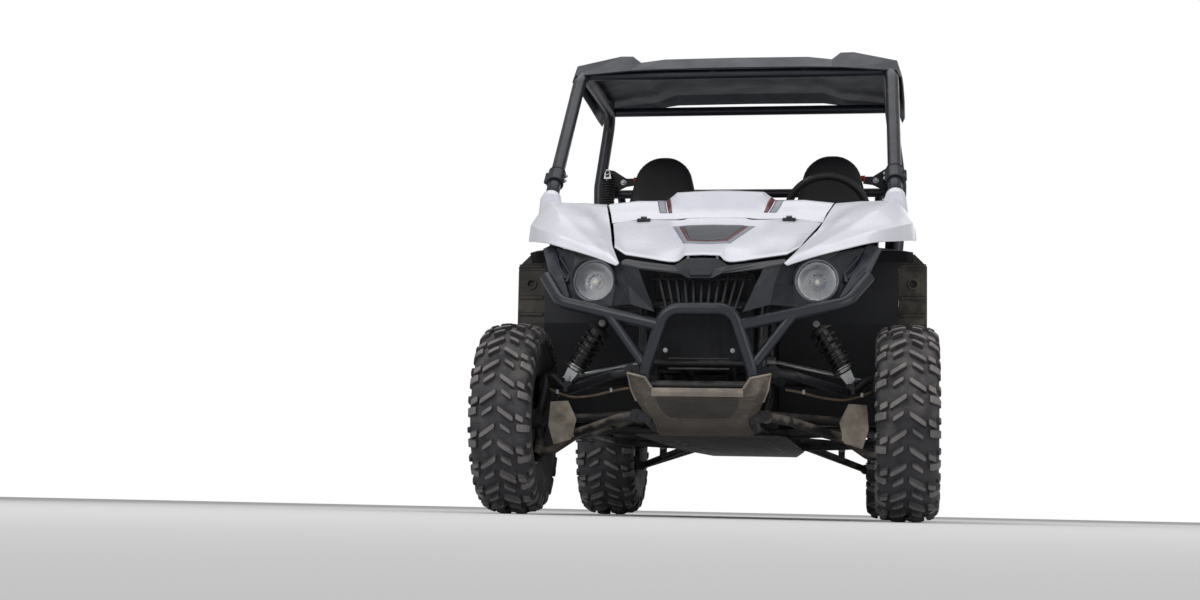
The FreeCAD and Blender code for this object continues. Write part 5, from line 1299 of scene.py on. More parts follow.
@dataclass
class Seats:
    """Both bucket seats, each a padded cushion and a padded back.

    Attributes:
        middle: Distance of a seat's middle from the centre plane.
        foot: Aft and z of the back's foot, at its face.
        lean_deg: Lean of the back.
        front: Aft of the cushion's front edge.
        level: Height of the cushion's middle.
        widest: Depth of the back's widest plane behind its face.
        fill: How full both pads are; not used.
    """

    middle: float = SEAT_X
    foot: tuple[float, float] = (1380.0, 700.3)
    lean_deg: float = 11.0
    front: float = 1100.0
    level: float = 647.5
    widest: float = 40.0
    fill: float = 0.8
    # columns: height up the back, half width, half thickness, hollow of the face
    back_table: tuple[tuple[float, ...], ...] = (
        (2, 186, 30, 4), (10, 196, 37, 8), (60, 202, 40, 14), (190, 208, 40, 20), (330, 211, 40, 20),
        (430, 198, 40, 18), (520, 178, 39, 14), (590, 162, 38, 9), (640, 150, 37, 6), (700, 138, 36, 4),
        (745, 128, 35, 2), (790, 119, 33, 0), (825, 97, 30, 0), (850, 66, 24, 0), (862, 38, 16, 0),
        (867, 12, 6, 0),
    )
    # columns: distance from the front edge, half width, half thickness, hollow of the top
    cushion_table: tuple[tuple[float, ...], ...] = (
        (2, 196, 22, 0), (12, 212, 38, 2), (40, 221, 48, 6), (120, 224, 52, 12), (220, 224, 52, 16),
        (320, 222, 50, 16), (375, 216, 44, 12), (392, 206, 34, 6), (398, 190, 20, 2),
    )
    # columns: distance out and height up the back, from one side of the head to the other
    head_line: tuple[tuple[float, float], ...] = (
        (112, 786), (88, 820), (52, 846), (0, 856), (-52, 846), (-88, 820), (-112, 786),
    )
    # columns: height up the back, half length
    seams: tuple[tuple[float, float], ...] = ((150, 150), (270, 152), (390, 146))

    def build(self) -> None:
        """Make both seats."""
        lean = math.radians(self.lean_deg)
        sine, cosine = math.sin(lean), math.cos(lean)
        aft, z = self.foot

        def on_back(x: float, height: float, depth: float) -> Vector:
            """A place on the back: out, up its face, and in from its face."""
            return at(x, aft + height * sine + depth * cosine, z + height * cosine - depth * sine)

        for hand, side in HANDS:
            middle = side * self.middle
            back = Shape(f"seat_back_{hand}", SEAT_VINYL).loft([
                [on_back(middle + x, row[0], self.widest - depth) for x, depth in self.ring(*row[1:])]
                for row in self.back_table
            ])
            stands_for = ["seat_backs"] if side > 0 else []
            made = back.make(CHASSIS, "seat_vinyl", stands_for, smooth=60, subdivide=1)
            cushion = Shape(f"seat_cushion_{hand}", SEAT_VINYL).loft([
                [at(middle + x, self.front + row[0], self.level + depth) for x, depth in self.ring(*row[1:])]
                for row in self.cushion_table
            ])
            stands_for = ["seat_cushions"] if side > 0 else []
            made = cushion.make(CHASSIS, "seat_vinyl", stands_for, smooth=60, subdivide=1)
            piping = Shape(f"seat_piping_{hand}", GRIP_RUBBER)
            rise = [(half - 2.5, height) for height, half, _, _ in self.back_table[1:-5]]
            edge = [*rise, *self.head_line, *((-x, height) for x, height in rise[::-1])]
            piping.tube([on_back(middle + x, height, self.widest) for x, height in edge], 0.003, 6)
            for height, half in self.seams:
                seam = [on_back(middle + half * u, height, 17 - 14 * u * u) for u in np.linspace(-1, 1, 15)]
                piping.tube(seam, 0.0022, 6)
            piping.make(CHASSIS, "seat_vinyl")

    @staticmethod
    def ring(half: float, thick: float, hollow: float) -> list[tuple[float, float]]:
        """One section of a pad.

        Args:
            half: Half its width.
            thick: Half its thickness.
            hollow: How deep its face sinks between the side rolls.

        Returns:
            Distance out and distance towards the face of each point.
        """
        points = []
        for c, d in circle(40):
            x = half * math.copysign(abs(c)**0.55, c)
            depth = thick * math.copysign(abs(d)**0.55, d)
            if d > 0:
                depth -= hollow * max(0.0, 1 - (x / (0.78 * half))**2)
            points.append((x, depth))
        return points


@dataclass
class Belts:
    """The belt anchors beside the rear hoop: sleeve, ring, bracket and strap.

    Attributes:
        sleeve: Foot of the left ribbed sleeve.
        sleeve_length: Its height, in millimetres.
        ribs: How many ribs it has.
        rib_pitch: From one rib to the next, in millimetres.
        pin: Middle of the pin through the left ring.
        bracket_aft: Front face of the bracket behind the ring.
        strap_half: Half the width of the webbing, in metres.
    """

    sleeve: Place = (606.0, 1552.0, 1275.0)
    sleeve_length: float = 165.0
    ribs: int = 15
    rib_pitch: float = 11.0
    pin: Place = (607.0, 1548.0, 1476.0)
    bracket_aft: float = 1612.0
    strap_half: float = 0.013
    # columns: distance out from the pin, height
    ring: tuple[tuple[float, float], ...] = (
        (-17, 1448), (17, 1448), (12, 1478), (6, 1490), (-6, 1490), (-12, 1478),
    )
    # columns: distance out, height
    bracket: tuple[tuple[float, float], ...] = (
        (619, 1501), (588, 1496), (533, 1461), (492, 1461),
        (492, 1430), (533, 1424), (576, 1402), (619, 1396),
    )
    # The strap's line from its guide, behind the back of the seat, to the seat's riser
    strap: tuple[Place, ...] = (
        (500, 1608, 1452), (455, 1636, 1450), (410, 1668, 1420), (396, 1672, 1330), (394, 1660, 1100),
        (392, 1568, 760), (392, 1502, 575),
    )

    def build(self) -> None:
        """Make both sides."""
        shape = Shape("belt_anchors", FLOOR_PP, BRIGHT_STEEL, GRIP_RUBBER)
        rings = [(0.0, 0.0)]
        for n in range(self.ribs):
            foot = n * self.rib_pitch
            rings += [(foot, 27.0), (foot + 4, 32.0), (foot + 7, 32.0)]
        shape.spun([*rings, (self.sleeve_length, 0)], at(*self.sleeve), UP, 24, 2)
        x, aft, _ = self.pin
        shape.prism([at(x + out, aft, z) for out, z in self.ring], Vector((0, 0.004, 0)), 1)
        shape.spun([(-2, 0), (-2, 8), (3, 8)], at(*self.pin), AFT, 20, 2)
        shape.spun([(-1, 11), (-3, 11), (-3, 8)], at(*self.pin), AFT, 20, 1)
        shape.prism([at(x, self.bracket_aft, z) for x, z in self.bracket], Vector((0, 0.006, 0)))
        shape.block(at(x, 1580, 1468), (18, 64, 26))
        shape.bolt(at(545, self.bracket_aft, 1443), -AFT, 17, 1)
        shape.mirror().make(CHASSIS, "frame_steel", bevel=0.8)
        strap = Shape("belt_straps", BELT_WEBBING)
        line = [Vector(p) for p in spline(np.array(route(self.strap)), 6)]
        # The webbing stands on its edge at the guide and lies flat behind the seat
        for part, across in ((line[:13], UP), (line[12:], LEFT)):
            strap.grid([[p + across * self.strap_half, p - across * self.strap_half] for p in part])
        strap.mirror().make(CHASSIS, "seat_vinyl", wall=1.4, smooth=60)


@dataclass
class Trim:
    """Fasteners, hoses and edges on the cage, bumper, flares and running gear.

    Attributes:
        pillar_foot: Where the left pillar's middle line leaves the fender.
        pillar_head: Its upper end.
        clamp_share: How far up the pillar its bolted joint is.
        flare_hole: Middle of the left flare's hole.
        hose_radius: Radius of a brake hose, in metres.
        horn_radius: Radius of the skid's rubbed edges, in metres.
    """

    pillar_foot: Place = (622.0, 341.0, 1148.0)
    pillar_head: Place = (611.0, 815.0, 1690.0)
    clamp_share: float = 0.165
    flare_hole: Place = (684.0, 329.0, 831.0)
    hose_radius: float = 0.0042
    horn_radius: float = 0.0045
    # columns: height of a step across the flare, its inner and outer end
    flare_steps: tuple[Place, ...] = ((901, 640, 731), (787, 638, 731), (726, 638, 731), (664, 638, 731))
    # The sheet of painted shade under each fender; columns: inner edge, middle, outer edge
    fender_shade_table: Table = field(default_factory=lambda: [
        [(400, -120, 868), (430, -128, 866), (448, -134, 862)],
        [(440, 0, 900), (500, -10, 905), (538, -40, 896)],
        [(470, 160, 930), (560, 150, 935), (618, 130, 925)],
        [(500, 300, 940), (600, 300, 945), (684, 290, 940)],
        [(500, 345, 900), (600, 345, 900), (684, 345, 900)],
    ])
    # columns: middle of the skid's panel of painted shade, its left edge
    skid_shade_panel: Table = field(default_factory=lambda: [
        [(0, -363, 383), (132, -361, 381)],
        [(0, -333, 349), (124, -329, 349)],
        [(0, -284, 319), (96, -281, 320)],
    ])
    horn: tuple[Place, ...] = (
        (146, -363, 409), (168, -364, 442), (229, -324, 459), (220, -307, 410), (204, -292, 372),
    )
    brake_hose: tuple[Place, ...] = (
        (560, 12, 437), (521, -20, 415), (480, -34, 402), (444, -40, 397), (380, -48, 404), (310, -60, 420),
        (262, -62, 428),
    )

    def build(self) -> None:
        """Make every detail."""
        self.clamps()
        self.flares()
        self.fender_shade_sheets()
        self.front()
        self.hoses()

    def clamps(self) -> None:
        """The bolted joint low on each front pillar."""
        shape = Shape("pillar_joints", TUBE_COAT, BRIGHT_STEEL, FLOOR_PP)
        foot, head = at(*self.pillar_foot), at(*self.pillar_head)
        axis = (head - foot).normalized()
        middle = foot + (head - foot) * self.clamp_share
        collar = [(-3, 25.5), (-3, 32.5), (3, 32.5), (3, 25.5)]
        for reach in (-31, 31):
            shape.spun(collar, middle + axis * reach / 1000, axis, 32, 2)
        shape.spun([(-28, 31.4), (-1.5, 31.4), (-1.5, 30)], middle, axis, 32)
        for reach in (-14, 14):
            place = middle + axis * reach / 1000
            for side in SIDES:
                out = LEFT * side
                shape.block(place + out * 0.032, (6, 14, 14))
                shape.bolt(place + out * 0.035, out, 10, 1)
        shape.mirror().make(CHASSIS, "tube_steel", bevel=0.6)

    def flares(self) -> None:
        """The steps across each flare and the rim round its hole."""
        shape = Shape("flare_steps", FLARE_PE, FLOOR_PP)
        for z, inner, outer in self.flare_steps:
            middle = (inner + outer) / 2
            shape.block(at(middle, 327.6, z), (outer - inner, 3, 3.4), 1)
            shape.block(at(middle, 327.0, z - 6), (outer - inner - 4, 4, 8))
        hole = at(*self.flare_hole)
        shape.spun([(0, 20), (-4, 19), (-4, 14), (0, 13)], hole, AFT, 24)
        shape.spun([(7, 0), (7, 18), (9, 18), (9, 0)], hole, AFT, 24, 1)
        shape.mirror().make(CHASSIS, "flare_plastic", bevel=1.0)

    def fender_shade_sheets(self) -> None:
        """A black sheet of painted shade that closes each fender's underside, from the nose to the flare."""
        shape = Shape("fender_shade_sheets", FLOOR_PP)
        shape.grid(skin_points(self.fender_shade_table, (4, 3), (3,), ())).mirror()
        shape.make(CHASSIS, "black_moulding", wall=3.0)

    def front(self) -> None:
        """The bumper's bolts and creases, the skid's rubbed edges, and the dark panel of painted shade below
        its lip.
        """
        shape = Shape("bumper_fittings", BRIGHT_STEEL, FRAME_COAT)
        shape.bolt(at(108, -330, 533), -AFT, 10)
        shape.mirror()
        for z, radius in ((507, 0.003), (474, 0.004)):
            shape.tube([at(-98, -326, z), at(98, -326, z)], radius, 8, 1)
        shape.make(CHASSIS, "frame_steel", bevel=0.5)
        skid = Shape("skid_edges", SKID_EDGE, SKID_PAINTED_SHADE)
        # columns: aft and height round the middle of the skid's lip
        lip = [(-9, 3), (-9, -3), (-3, -14), (3, -15), (3, 12), (-3, 13)]
        half = 146
        skid.prism([at(-half, -361 + aft, 397 + z) for aft, z in lip], LEFT * 2 * half / 1000)
        for side in SIDES:
            skid.tube([at(side * x, aft, z) for x, aft, z in self.horn], self.horn_radius, 8)
        # The panel below the lip: a darker copy of the skid's plastic, a painted shade
        skid.grid([route(row) for row in whole_width(self.skid_shade_panel)], 1)
        skid.make(CHASSIS, "skid_plastic", wall=2.0, bevel=1.0)

    def hoses(self) -> None:
        """The brake hose clipped under each upper arm."""
        shape = Shape("brake_hoses", HOSE_RUBBER, BRIGHT_STEEL)
        points = [Vector(p) for p in spline(np.array(route(self.brake_hose)), 5)]
        shape.tube(points, self.hose_radius, 8)
        for n in (6, 24):
            shape.block(points[n] + UP * 0.004, (9, 12, 14), 1)
        shape.mirror().make(CHASSIS, "frame_steel", bevel=0.6, smooth=60)


@dataclass
class Cab:
    """What a rider sees and holds: gauges, lever, pedals, grab bar and the wheel's hub.

    Attributes:
        dash_tilt_deg: Tip of the dashboard's face.
        pedal_tilt_deg: Tip of the pedals.
        wheel: Middle of the steering wheel.
        wheel_tilt_deg: Rise of its axis.
    """

    dash_tilt_deg: float = -12.0
    pedal_tilt_deg: float = -28.0
    wheel: Place = (SEAT_X, 985.0, 1192.0)
    wheel_tilt_deg: float = 28.0
    # columns: distance from the middle of the gauge pod, height over its foot
    pod: tuple[tuple[float, float], ...] = ((-92, 0), (-84, 34), (-40, 46), (40, 46), (84, 34), (92, 0))
    grab_bar: tuple[Place, ...] = ((-480, 636, 1066), (-470, 668, 1088), (-240, 668, 1088), (-230, 636, 1066))
    # Middle of each pedal and its width
    pedals: tuple[tuple[float, float], ...] = ((300, 56), (410, 84))

    def build(self) -> None:
        """Make every detail."""
        self.dash()
        self.controls()
        self.hub()

    def dash(self) -> None:
        """The gauge pod, glove box lid, switches and grab bar."""
        shape = Shape("dash_details", BLACK_PP, GREY_FILM, FLOOR_PP)
        # columns: aft of a section through the pod, its size
        sections = ((520, 0.7), (575, 0.96), (628, 1.0))
        shape.loft([[at(SEAT_X + x * k, aft, 1108 + z * k) for x, z in self.pod] for aft, k in sections])
        gauge = [(0, 34), (3, 34), (3, 30), (1, 30), (1, 0)]
        shape.spun(gauge, at(SEAT_X, 628, 1130), Vector((0, 1, -0.15)), 32, 1)
        turn = tipped(self.dash_tilt_deg)
        shape.block(at(-330, 628, 996), (300, 10, 104), 2, turn)
        shape.block(at(-330, 635, 1034), (60, 8, 12), 0, turn)
        for n in range(4):
            shape.block(at(40 + n * 38, 632, 1010), (28, 12, 20), 2, turn)
        shape.block(at(96, 626, 958), (120, 8, 46), 2, turn)
        shape.tube(bent(route(self.grab_bar), 0.03), 0.011, 12, 2)
        shape.make(CHASSIS, "black_moulding", bevel=2.0)

    def controls(self) -> None:
        """The drive lever on the tunnel, both pedals and the seat belt buckles."""
        shape = Shape("controls", FRAME_COAT, GRIP_RUBBER, BRIGHT_STEEL)
        boot = [(0, 34), (8, 30), (24, 20), (30, 12), (30, 0)]
        knob = [(-26, 8), (-20, 15), (8, 19), (22, 14), (26, 0)]
        shape.spun(boot, at(60, 800, 500), UP, 24, 1)
        shape.tube(bent([at(60, 800, 520), at(60, 790, 620), at(78, 770, 690)], 0.04), 0.006, 10, 2)
        shape.spun(knob, at(80, 768, 700), Vector((0.1, -0.1, 1)), 20, 1)
        turn = tipped(self.pedal_tilt_deg)
        for x, wide in self.pedals:
            shape.block(at(x, 505, 500), (wide, 8, 70), 0, turn)
            for n in range(4):
                shape.block(at(x, 511 - n * 7.5, 474 + n * 15), (wide - 8, 6, 5), 1, turn)
            shape.tube([at(x, 500, 520), at(x, 452, 640)], 0.009, 8)
        for x in (142, -142):
            shape.block(at(x, 1330, 690), (22, 46, 70), 1, tipped(20))
        shape.make(CHASSIS, "frame_steel", bevel=1.2)

    def hub(self) -> None:
        """The pad on the steering wheel's hub."""
        tilt = math.radians(self.wheel_tilt_deg)
        axis = Vector((0, math.cos(tilt), math.sin(tilt)))
        shape = Shape("steering_pad", FLOOR_PP, BRIGHT_STEEL)
        shape.spun([(-12, 40), (8, 44), (16, 40), (20, 26), (21, 0)], at(*self.wheel), axis, 32)
        shape.spun([(21.5, 9), (23, 9), (23, 0)], at(*self.wheel), axis, 24, 1)
        shape.make("steering_wheel", "grip", bevel=0.8)


@dataclass
class Doors:
    """Seams, handles and hinges of both half doors.

    Attributes:
        outer: Distance of the doors' outer faces from the centre plane.
        handle_z: Height of the handles.
        hinge_z: Heights of the hinges.
        hinge_aft: Middle of the hinges.
    """

    outer: float = 691.0
    handle_z: float = 860.0
    hinge_z: tuple[float, float] = (560.0, 860.0)
    hinge_aft: float = 1404.0
    # columns: distance out from the door's face, aft
    handle: tuple[tuple[float, float], ...] = ((0, 474), (16, 484), (16, 556), (0, 566))
    # columns: aft, height of the rail along the door's foot
    rail: tuple[tuple[float, float], ...] = ((470, 498), (1412, 498), (1412, 512), (470, 512))

    def build(self) -> None:
        """Make the details of both doors."""
        for hand, side in HANDS:
            shape = Shape(f"door_details_{hand}", BLACK_PP, BRIGHT_STEEL)
            outer = side * self.outer
            shape.block(at(outer, 520, self.handle_z), (5, 118, 44))
            grip = [at(outer + side * x, aft, self.handle_z + 2) for x, aft in self.handle]
            shape.tube(bent(grip, 0.012), 0.007, 10)
            for z in self.hinge_z:
                shape.block(at(outer, self.hinge_aft, z), (5, 52, 40))
                for aft in (self.hinge_aft - 14, self.hinge_aft + 12):
                    shape.bolt(at(outer + side * 2.5, aft, z), Vector((side, 0, 0)), 11, 1)
            rail = [at(outer - side, aft, z) for aft, z in self.rail]
            shape.prism(rail, Vector((side * 0.002, 0, 0)))
            shape.make(f"door_{hand}", "black_moulding", bevel=1.2)


@dataclass
class Tail:
    """The load bed's ribs, the tail lamps and the tail's fittings.

    Attributes:
        rib_reach: Distance of the outermost ribs from the centre plane.
        rib_pitch: From one rib of the bed's floor to the next.
        lamp_x: Distance of each tail lamp's middle from the centre plane.
        lamp_z: Height of its middle.
        lamp_back: How far ahead of the tail's end the lamp starts.
    """

    rib_reach: int = 480
    rib_pitch: int = 80
    lamp_x: float = 600.0
    lamp_z: float = 910.0
    lamp_back: float = 49.7
    # columns: distance out, height of the tie-down loops
    loop: tuple[tuple[float, float], ...] = ((548, 1004), (530, 1010), (530, 1030), (548, 1036))
    # columns: distance out and up from the lamp's middle
    lamp: tuple[tuple[float, float], ...] = (
        (-44, -30), (-30, -44), (30, -44), (44, -30), (44, 30), (30, 44), (-30, 44), (-44, 30),
    )

    def build(self) -> None:
        """Make every detail."""
        self.bed()
        self.lamps()

    def bed(self) -> None:
        """The floor's ribs, tie-down loops, latch and the tail panel's screws."""
        bed = Shape("bed_details", BLACK_PP, BRIGHT_STEEL, FLOOR_PP)
        for x in range(-self.rib_reach, self.rib_reach + 1, self.rib_pitch):
            bed.block(at(x, (CAB_REAR + TAIL) / 2 + 12, 882), (26, 640, 6))
        for side in SIDES:
            for aft in (CAB_REAR + 180, TAIL - 140):
                bed.tube(bent([at(side * x, aft, z) for x, z in self.loop], 0.008), 0.005, 8, 1)
        bed.block(at(0, TAIL - 60, 1000), (150, 16, 10), 2)
        bed.block(at(0, TAIL - 34, 905), (520, 4, 60), 2)
        for x in (-420, -210, 210, 420):
            bed.bolt(at(x, TAIL - 36, 780), AFT, 13, 1)
        bed.make(CHASSIS, "black_moulding", bevel=2.0)

    def lamps(self) -> None:
        """Both tail lamps: lens, bowl and the bars of its reflector."""
        lens = Shape("tail_lenses", RED_LENS)
        inner = Shape("tail_lamp_bowls", LAMP_RING, RED_FILM)
        rear = TAIL - self.lamp_back
        for x in (self.lamp_x, -self.lamp_x):
            lens.loft([
                [at(x + a * k, rear + d, self.lamp_z + b * k) for a, b in self.lamp]
                for d, k in ((12, 1.0), (27, 1.0), (32, 0.92), (34, 0.7))
            ])
            inner.loft([[at(x + a, rear + d, self.lamp_z + b) for a, b in self.lamp] for d in (0.5, 11)])
            for n in range(-3, 4):
                inner.block(at(x, rear + 14, self.lamp_z + n * 11), (66, 5, 4), 1)
        inner.make(CHASSIS, "lamp_red", ["tail_lights"], bevel=0.8)
        lens.make(CHASSIS, "lamp_red", smooth=50)


@dataclass
class Running:
    """Nuts and caps of the wheels, and the engine's, radiator's and belly's details.

    Attributes:
        hub_share: Reach of a hub's face from its tyre's middle, as a share of the tyre's width.
        hub_set: How far that face is set back, in millimetres.
        nut_circle: Radius of the circle of wheel nuts, in metres.
        belt_case: Middle of the belt drive's front pulley, on its case's outer face.
        core: Middle of the radiator's core, at its rear face.
    """

    hub_share: float = 0.37
    hub_set: float = 16.5
    nut_circle: float = 0.034
    belt_case: Place = (-160.0, 1290.0, 395.0)
    core: Place = (0.0, -143.5, 652.0)
    # columns: distance out from the case, radius of its cover
    cover: tuple[tuple[float, float], ...] = (
        (0, 74), (16, 74), (26, 68), (30, 50), (30, 22), (36, 16), (36, 0),
    )
    intake: tuple[Place, ...] = ((60, 1500, 520), (60, 1560, 560), (60, 1600, 640), (60, 1600, 720))

    def build(self) -> None:
        """Make every detail."""
        axles = (
            ("front", 0.0, FRONT_WHEEL_X, FRONT_TYRE_WIDTH),
            ("rear", WHEELBASE, REAR_WHEEL_X, REAR_TYRE_WIDTH),
        )
        for axle, aft, middle, width in axles:
            for hand, side in HANDS:
                face = middle + self.hub_share * width - self.hub_set
                self.wheel(f"{axle}_{hand}", side, aft, face)
        self.engine()
        self.radiator()
        self.belly()

    def wheel(self, name: str, side: int, aft: float, face: float) -> None:
        """The cap, four nuts and valve of one wheel.

        Args:
            name: Which wheel.
            side: 1 on the left and -1 on the right.
            aft: The axle's place.
            face: Distance of the hub's face from the centre plane.
        """
        shape = Shape(f"wheel_fittings_{name}", BRIGHT_STEEL, GRIP_RUBBER, WHEEL_COAT)
        middle, out = at(side * face, aft, WHEEL_RADIUS), Vector((side, 0, 0))
        shape.spun([(-2, 20), (6, 20), (10, 16), (11, 0)], middle, out, 32, 2)
        for n in range(4):
            turn = math.radians(45 + 90 * n)
            shape.bolt(middle + Vector((0, math.cos(turn), math.sin(turn))) * self.nut_circle, out, 15)
        valve = middle + Vector((side * 0.004, 0.045, 0.128))
        shape.tube([valve, valve + Vector((side * 0.022, 0, -0.012))], 0.004, 8, 1)
        shape.make(f"wheel_{name}", "bright_steel", bevel=0.5)

    def engine(self) -> None:
        """Cooling fins, the belt drive's cover and the intake hose."""
        shape = Shape("engine_details", CAST_ALLOY, BLACK_PP, BRIGHT_STEEL, GRIP_RUBBER)
        for n in range(7):
            shape.block(at(0, 1355, 486 + n * 11), (272, 304, 3.5))
        x, aft, z = self.belt_case
        shape.spun(self.cover, at(x, aft, z), -LEFT, 36, 1)
        shape.spun([*self.cover[:5], (30, 0)], at(x, aft + 165, z), -LEFT, 36, 1)
        for n in range(8):
            turn = math.radians(45 * n + 20)
            place = at(x - 16, aft, z) + Vector((0, math.cos(turn), math.sin(turn))) * 0.068
            shape.bolt(place, -LEFT, 8, 2)
        shape.tube(bent(route(self.intake), 0.05), 0.03, 16, 3)
        shape.spun([(0, 58), (70, 62), (76, 54), (76, 0)], at(60, 1600, 716), UP, 28, 1)
        shape.make(CHASSIS, "engine_alloy", bevel=0.8)

    def radiator(self) -> None:
        """Tanks, cap, fan shroud and hoses of the radiator."""
        shape = Shape("radiator_details", FLOOR_PP, GRIP_RUBBER)
        x, aft, z = self.core
        for side in (-150, 150):
            shape.block(at(side, aft, z), (22, 52, 300))
        for height in (506, 799):
            shape.block(at(x, aft, height), (318, 50, 12))
        shape.spun([(0, 20), (9, 20), (11, 17), (11, 0)], at(118, -143, 805), UP, 24)
        shape.spun([(0, 118), (14, 122), (14, 60), (14, 0)], at(x, -121, z), AFT, 32)
        for out, height in ((118, 760), (-118, 540)):
            hose = [(out, -118, height), (out, -60, height), (out * 0.6, 60, 480), (out * 0.6, 300, 400)]
            shape.tube(bent(route(hose), 0.07), 0.016, 14, 1)
        shape.make(CHASSIS, "black_moulding", bevel=1.0)

    def belly(self) -> None:
        """Round-headed screws that hold the belly plate."""
        shape = Shape("belly_screws", BRIGHT_STEEL)
        for aft in range(560, 1560, 240):
            for x in (-165, 165):
                shape.spun([(0, 11), (1.2, 10), (2.4, 5), (2.6, 0)], at(x, aft, 276), -UP, 16)
        shape.make(CHASSIS, "bright_steel")


# Each finish with the CAD nodes that take it
FINISH_NODES: dict[Finish, str] = {
    WHEEL_COAT: "rim_front_left rim_front_right rim_rear_left rim_rear_right",
    CAST_IRON: "knuckle_left knuckle_right front_drive rear_drive rear_carriers",
    FRAME_COAT: "front_upper_arms lower_frame sill_frame front_frame rear_frame hitch steering_column",
    ARM_COAT: "front_lower_arms rear_arms",
    GUARD_PE: "arm_guards",
    SPRING_STEEL: "front_shocks rear_shocks",
    BRIGHT_STEEL: "tie_rods",
    CAST_ALLOY: "rack_housing engine",
    TUBE_COAT: "front_bumper rear_bumper cage_left cage_right cage_cross",
    SKID_PE: "front_skid",
    BELLY_PE: "belly_skid",
    ROOF_PE: "roof",
    WHITE_ABS: "hood cowl front_fenders door_left door_right rear_fenders",
    BLACK_PP: "front_fascia grille dashboard cargo_bed tail_panel",
    FLOOR_PP: "liners floor rockers seat_riser",
    FLARE_PE: "mud_flares",
    CORE_ALLOY: "radiator",
    BULB_WHITE: "headlights",
    RED_FILM: "tail_lights",
    GRIP_RUBBER: "steering_wheel",
    MUFFLER_STEEL: "exhaust",
    SEAT_VINYL: "seat_cushions seat_backs",
    TYRE_RUBBER: "tyre_front_left tyre_front_right tyre_rear_left tyre_rear_right",
}


def dress_nodes() -> None:
    """Give every CAD node its finish."""
    finish_of = {name: finish for finish, names in FINISH_NODES.items() for name in names.split()}
    for name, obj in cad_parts.items():
        for slot in obj.material_slots:
            slot.material = finish_of[name].build()


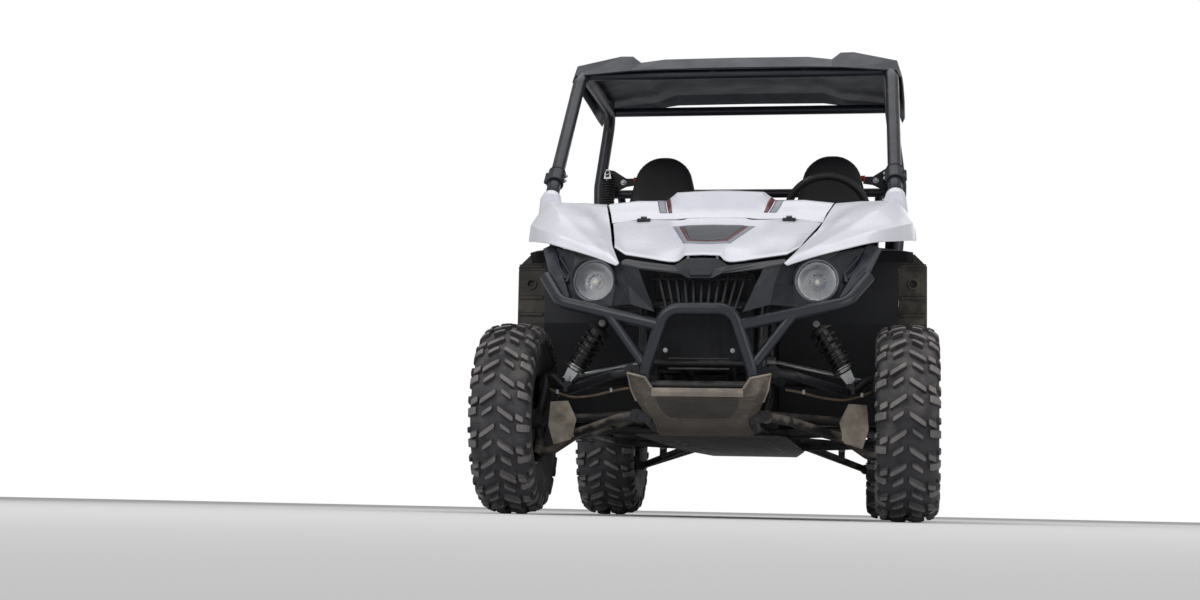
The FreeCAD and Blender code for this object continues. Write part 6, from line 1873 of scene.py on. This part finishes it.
@dataclass
class Studio:
    """A pale floor, soft lamps and the camera at the photograph's angle.

    Attributes:
        lens_mm: Focal length of the camera.
        sensor_mm: Width of its sensor.
        far: How far it sees, in metres.
        place: Camera's place (x, aft, z) in millimetres.
        yaw_deg: Turn from straight back, towards the vehicle's left.
        pitch_deg: Tilt upwards.
        roll_deg: Roll to the right.
        rise: Vertical shift, as a share of the frame's width.
        floor_reach: Half the side of the floor, in metres.
        floor_colour: Its colour, sRGB hex.
        floor_rough: Its roughness.
        object_light: Strength of the world's light on the object.
    """

    lens_mm: float = 53.46
    sensor_mm: float = 36.0
    far: float = 200.0
    place: Place = (593.0, -5988.0, 22.0)
    yaw_deg: float = -9.2
    pitch_deg: float = 6.5
    roll_deg: float = 1.23
    rise: float = 0.005
    floor_reach: float = 60.0
    floor_colour: str = "E6E6E6"
    floor_rough: float = 0.9
    object_light: float = 0.42

    def build(self) -> None:
        """Make the camera, floor, lamps and world."""
        self.camera()
        self.floor()
        self.lamps()
        self.world()
        bpy.context.scene.view_settings.view_transform = "Standard"

    def camera(self) -> None:
        """Place the camera at floor level in front of the vehicle."""
        data = bpy.data.cameras.new("camera")
        data.lens = self.lens_mm
        data.sensor_width = self.sensor_mm
        data.shift_y = self.rise
        data.clip_end = self.far
        obj = bpy.data.objects.new("camera", data)
        bpy.context.scene.collection.objects.link(obj)
        yaw, pitch, roll = (math.radians(a) for a in (self.yaw_deg, self.pitch_deg, self.roll_deg))
        ahead = Vector((math.sin(yaw) * math.cos(pitch), math.cos(yaw) * math.cos(pitch), math.sin(pitch)))
        level = ahead.cross(UP).normalized()
        upward = level.cross(ahead)
        right = level * math.cos(roll) + upward * math.sin(roll)
        up = right.cross(ahead)
        turn = Matrix((right, up, -ahead)).transposed()
        obj.matrix_world = Matrix.Translation(at(*self.place)) @ turn.to_4x4()
        bpy.context.scene.camera = obj

    def floor(self) -> None:
        """A plain pale floor that keeps the vehicle's shadow."""
        mesh = bpy.data.meshes.new("floor")
        reach = self.floor_reach
        corners = [(-reach, -reach, 0), (reach, -reach, 0), (reach, reach, 0), (-reach, reach, 0)]
        mesh.from_pydata(corners, [], [(0, 1, 2, 3)])
        obj = bpy.data.objects.new("floor", mesh)
        bpy.context.scene.collection.objects.link(obj)
        material = bpy.data.materials.new("pale_floor")
        material.use_nodes = True
        shader = material.node_tree.nodes["Principled BSDF"]
        shader.inputs["Base Color"].default_value = linear(self.floor_colour)
        shader.inputs["Roughness"].default_value = self.floor_rough
        mesh.materials.append(material)

    def lamps(self) -> None:
        """Soft lamps: one ahead on each side, one overhead and a weak one behind."""
        # columns: name, place and aim in metres, size, watts
        rows = [
            ("key", (-2.6, -5.6, 4.2), (0, 0, 0.9), 4.0, 120),
            ("fill", (4.6, -4.4, 2.4), (0, 0, 0.9), 4.0, 62),
            ("top", (0.0, 0.6, 5.5), (0, 0, 1.0), 5.0, 95),
            ("back", (2.4, 5.4, 3.6), (0, 0, 1.0), 3.0, 34),
        ]
        for name, place, aim, size, watts in rows:
            data = bpy.data.lights.new(name, "AREA")
            data.shape = "SQUARE"
            data.size = size
            data.energy = watts
            obj = bpy.data.objects.new(name, data)
            obj.location = place
            obj.rotation_euler = (Vector(aim) - Vector(place)).to_track_quat("-Z", "Y").to_euler()
            bpy.context.scene.collection.objects.link(obj)

    def world(self) -> None:
        """A white background for the camera and for reflections, and a softer light on the object."""
        world = bpy.data.worlds.new("studio")
        bpy.context.scene.world = world
        world.use_nodes = True
        tree = world.node_tree
        tree.nodes.clear()
        path = add_node(tree, "LightPath").outputs
        seen = add_node(
            tree, "Math", {0: path["Is Camera Ray"], 1: path["Is Transmission Ray"]},
            operation="MAXIMUM",
        ).outputs[0]
        strength = add_node(tree, "MapRange", {0: seen, 3: self.object_light, 4: 1.0})
        light = add_node(
            tree, "Background", {"Color": (1.0, 1.0, 1.0, 1.0), "Strength": strength.outputs[0]}
        )
        add_node(tree, "OutputWorld", {"Surface": light.outputs[0]})


def main() -> None:
    """Build the studio, the finishes and every dressed sub-assembly."""
    logging.basicConfig(level=logging.INFO, format="%(message)s")
    Studio().build()
    dress_nodes()
    for hand, side in HANDS:
        centre = (side * FRONT_WHEEL_X, 0.0, WHEEL_RADIUS)
        Tyre(f"tyre_front_{hand}", f"wheel_front_{hand}", centre, FRONT_TYRE_WIDTH).build()
        centre = (side * REAR_WHEEL_X, WHEELBASE, WHEEL_RADIUS)
        Tyre(f"tyre_rear_{hand}", f"wheel_rear_{hand}", centre, REAR_TYRE_WIDTH).build()
    FrontBody().build()
    Nose().build()
    Shock("front_shocks", (362.0, -19.0, 650.0), (474.0, -19.0, 462.0), 4.2, 2.5).build()
    Shock("rear_shocks", (345.0, WHEELBASE - 62, 792.0), (398.0, WHEELBASE - 62, 305.0), 9, 4).build()
    Seats().build()
    Belts().build()
    Trim().build()
    Cab().build()
    Doors().build()
    Tail().build()
    Running().build()


if __name__ == "__main__":
    main()
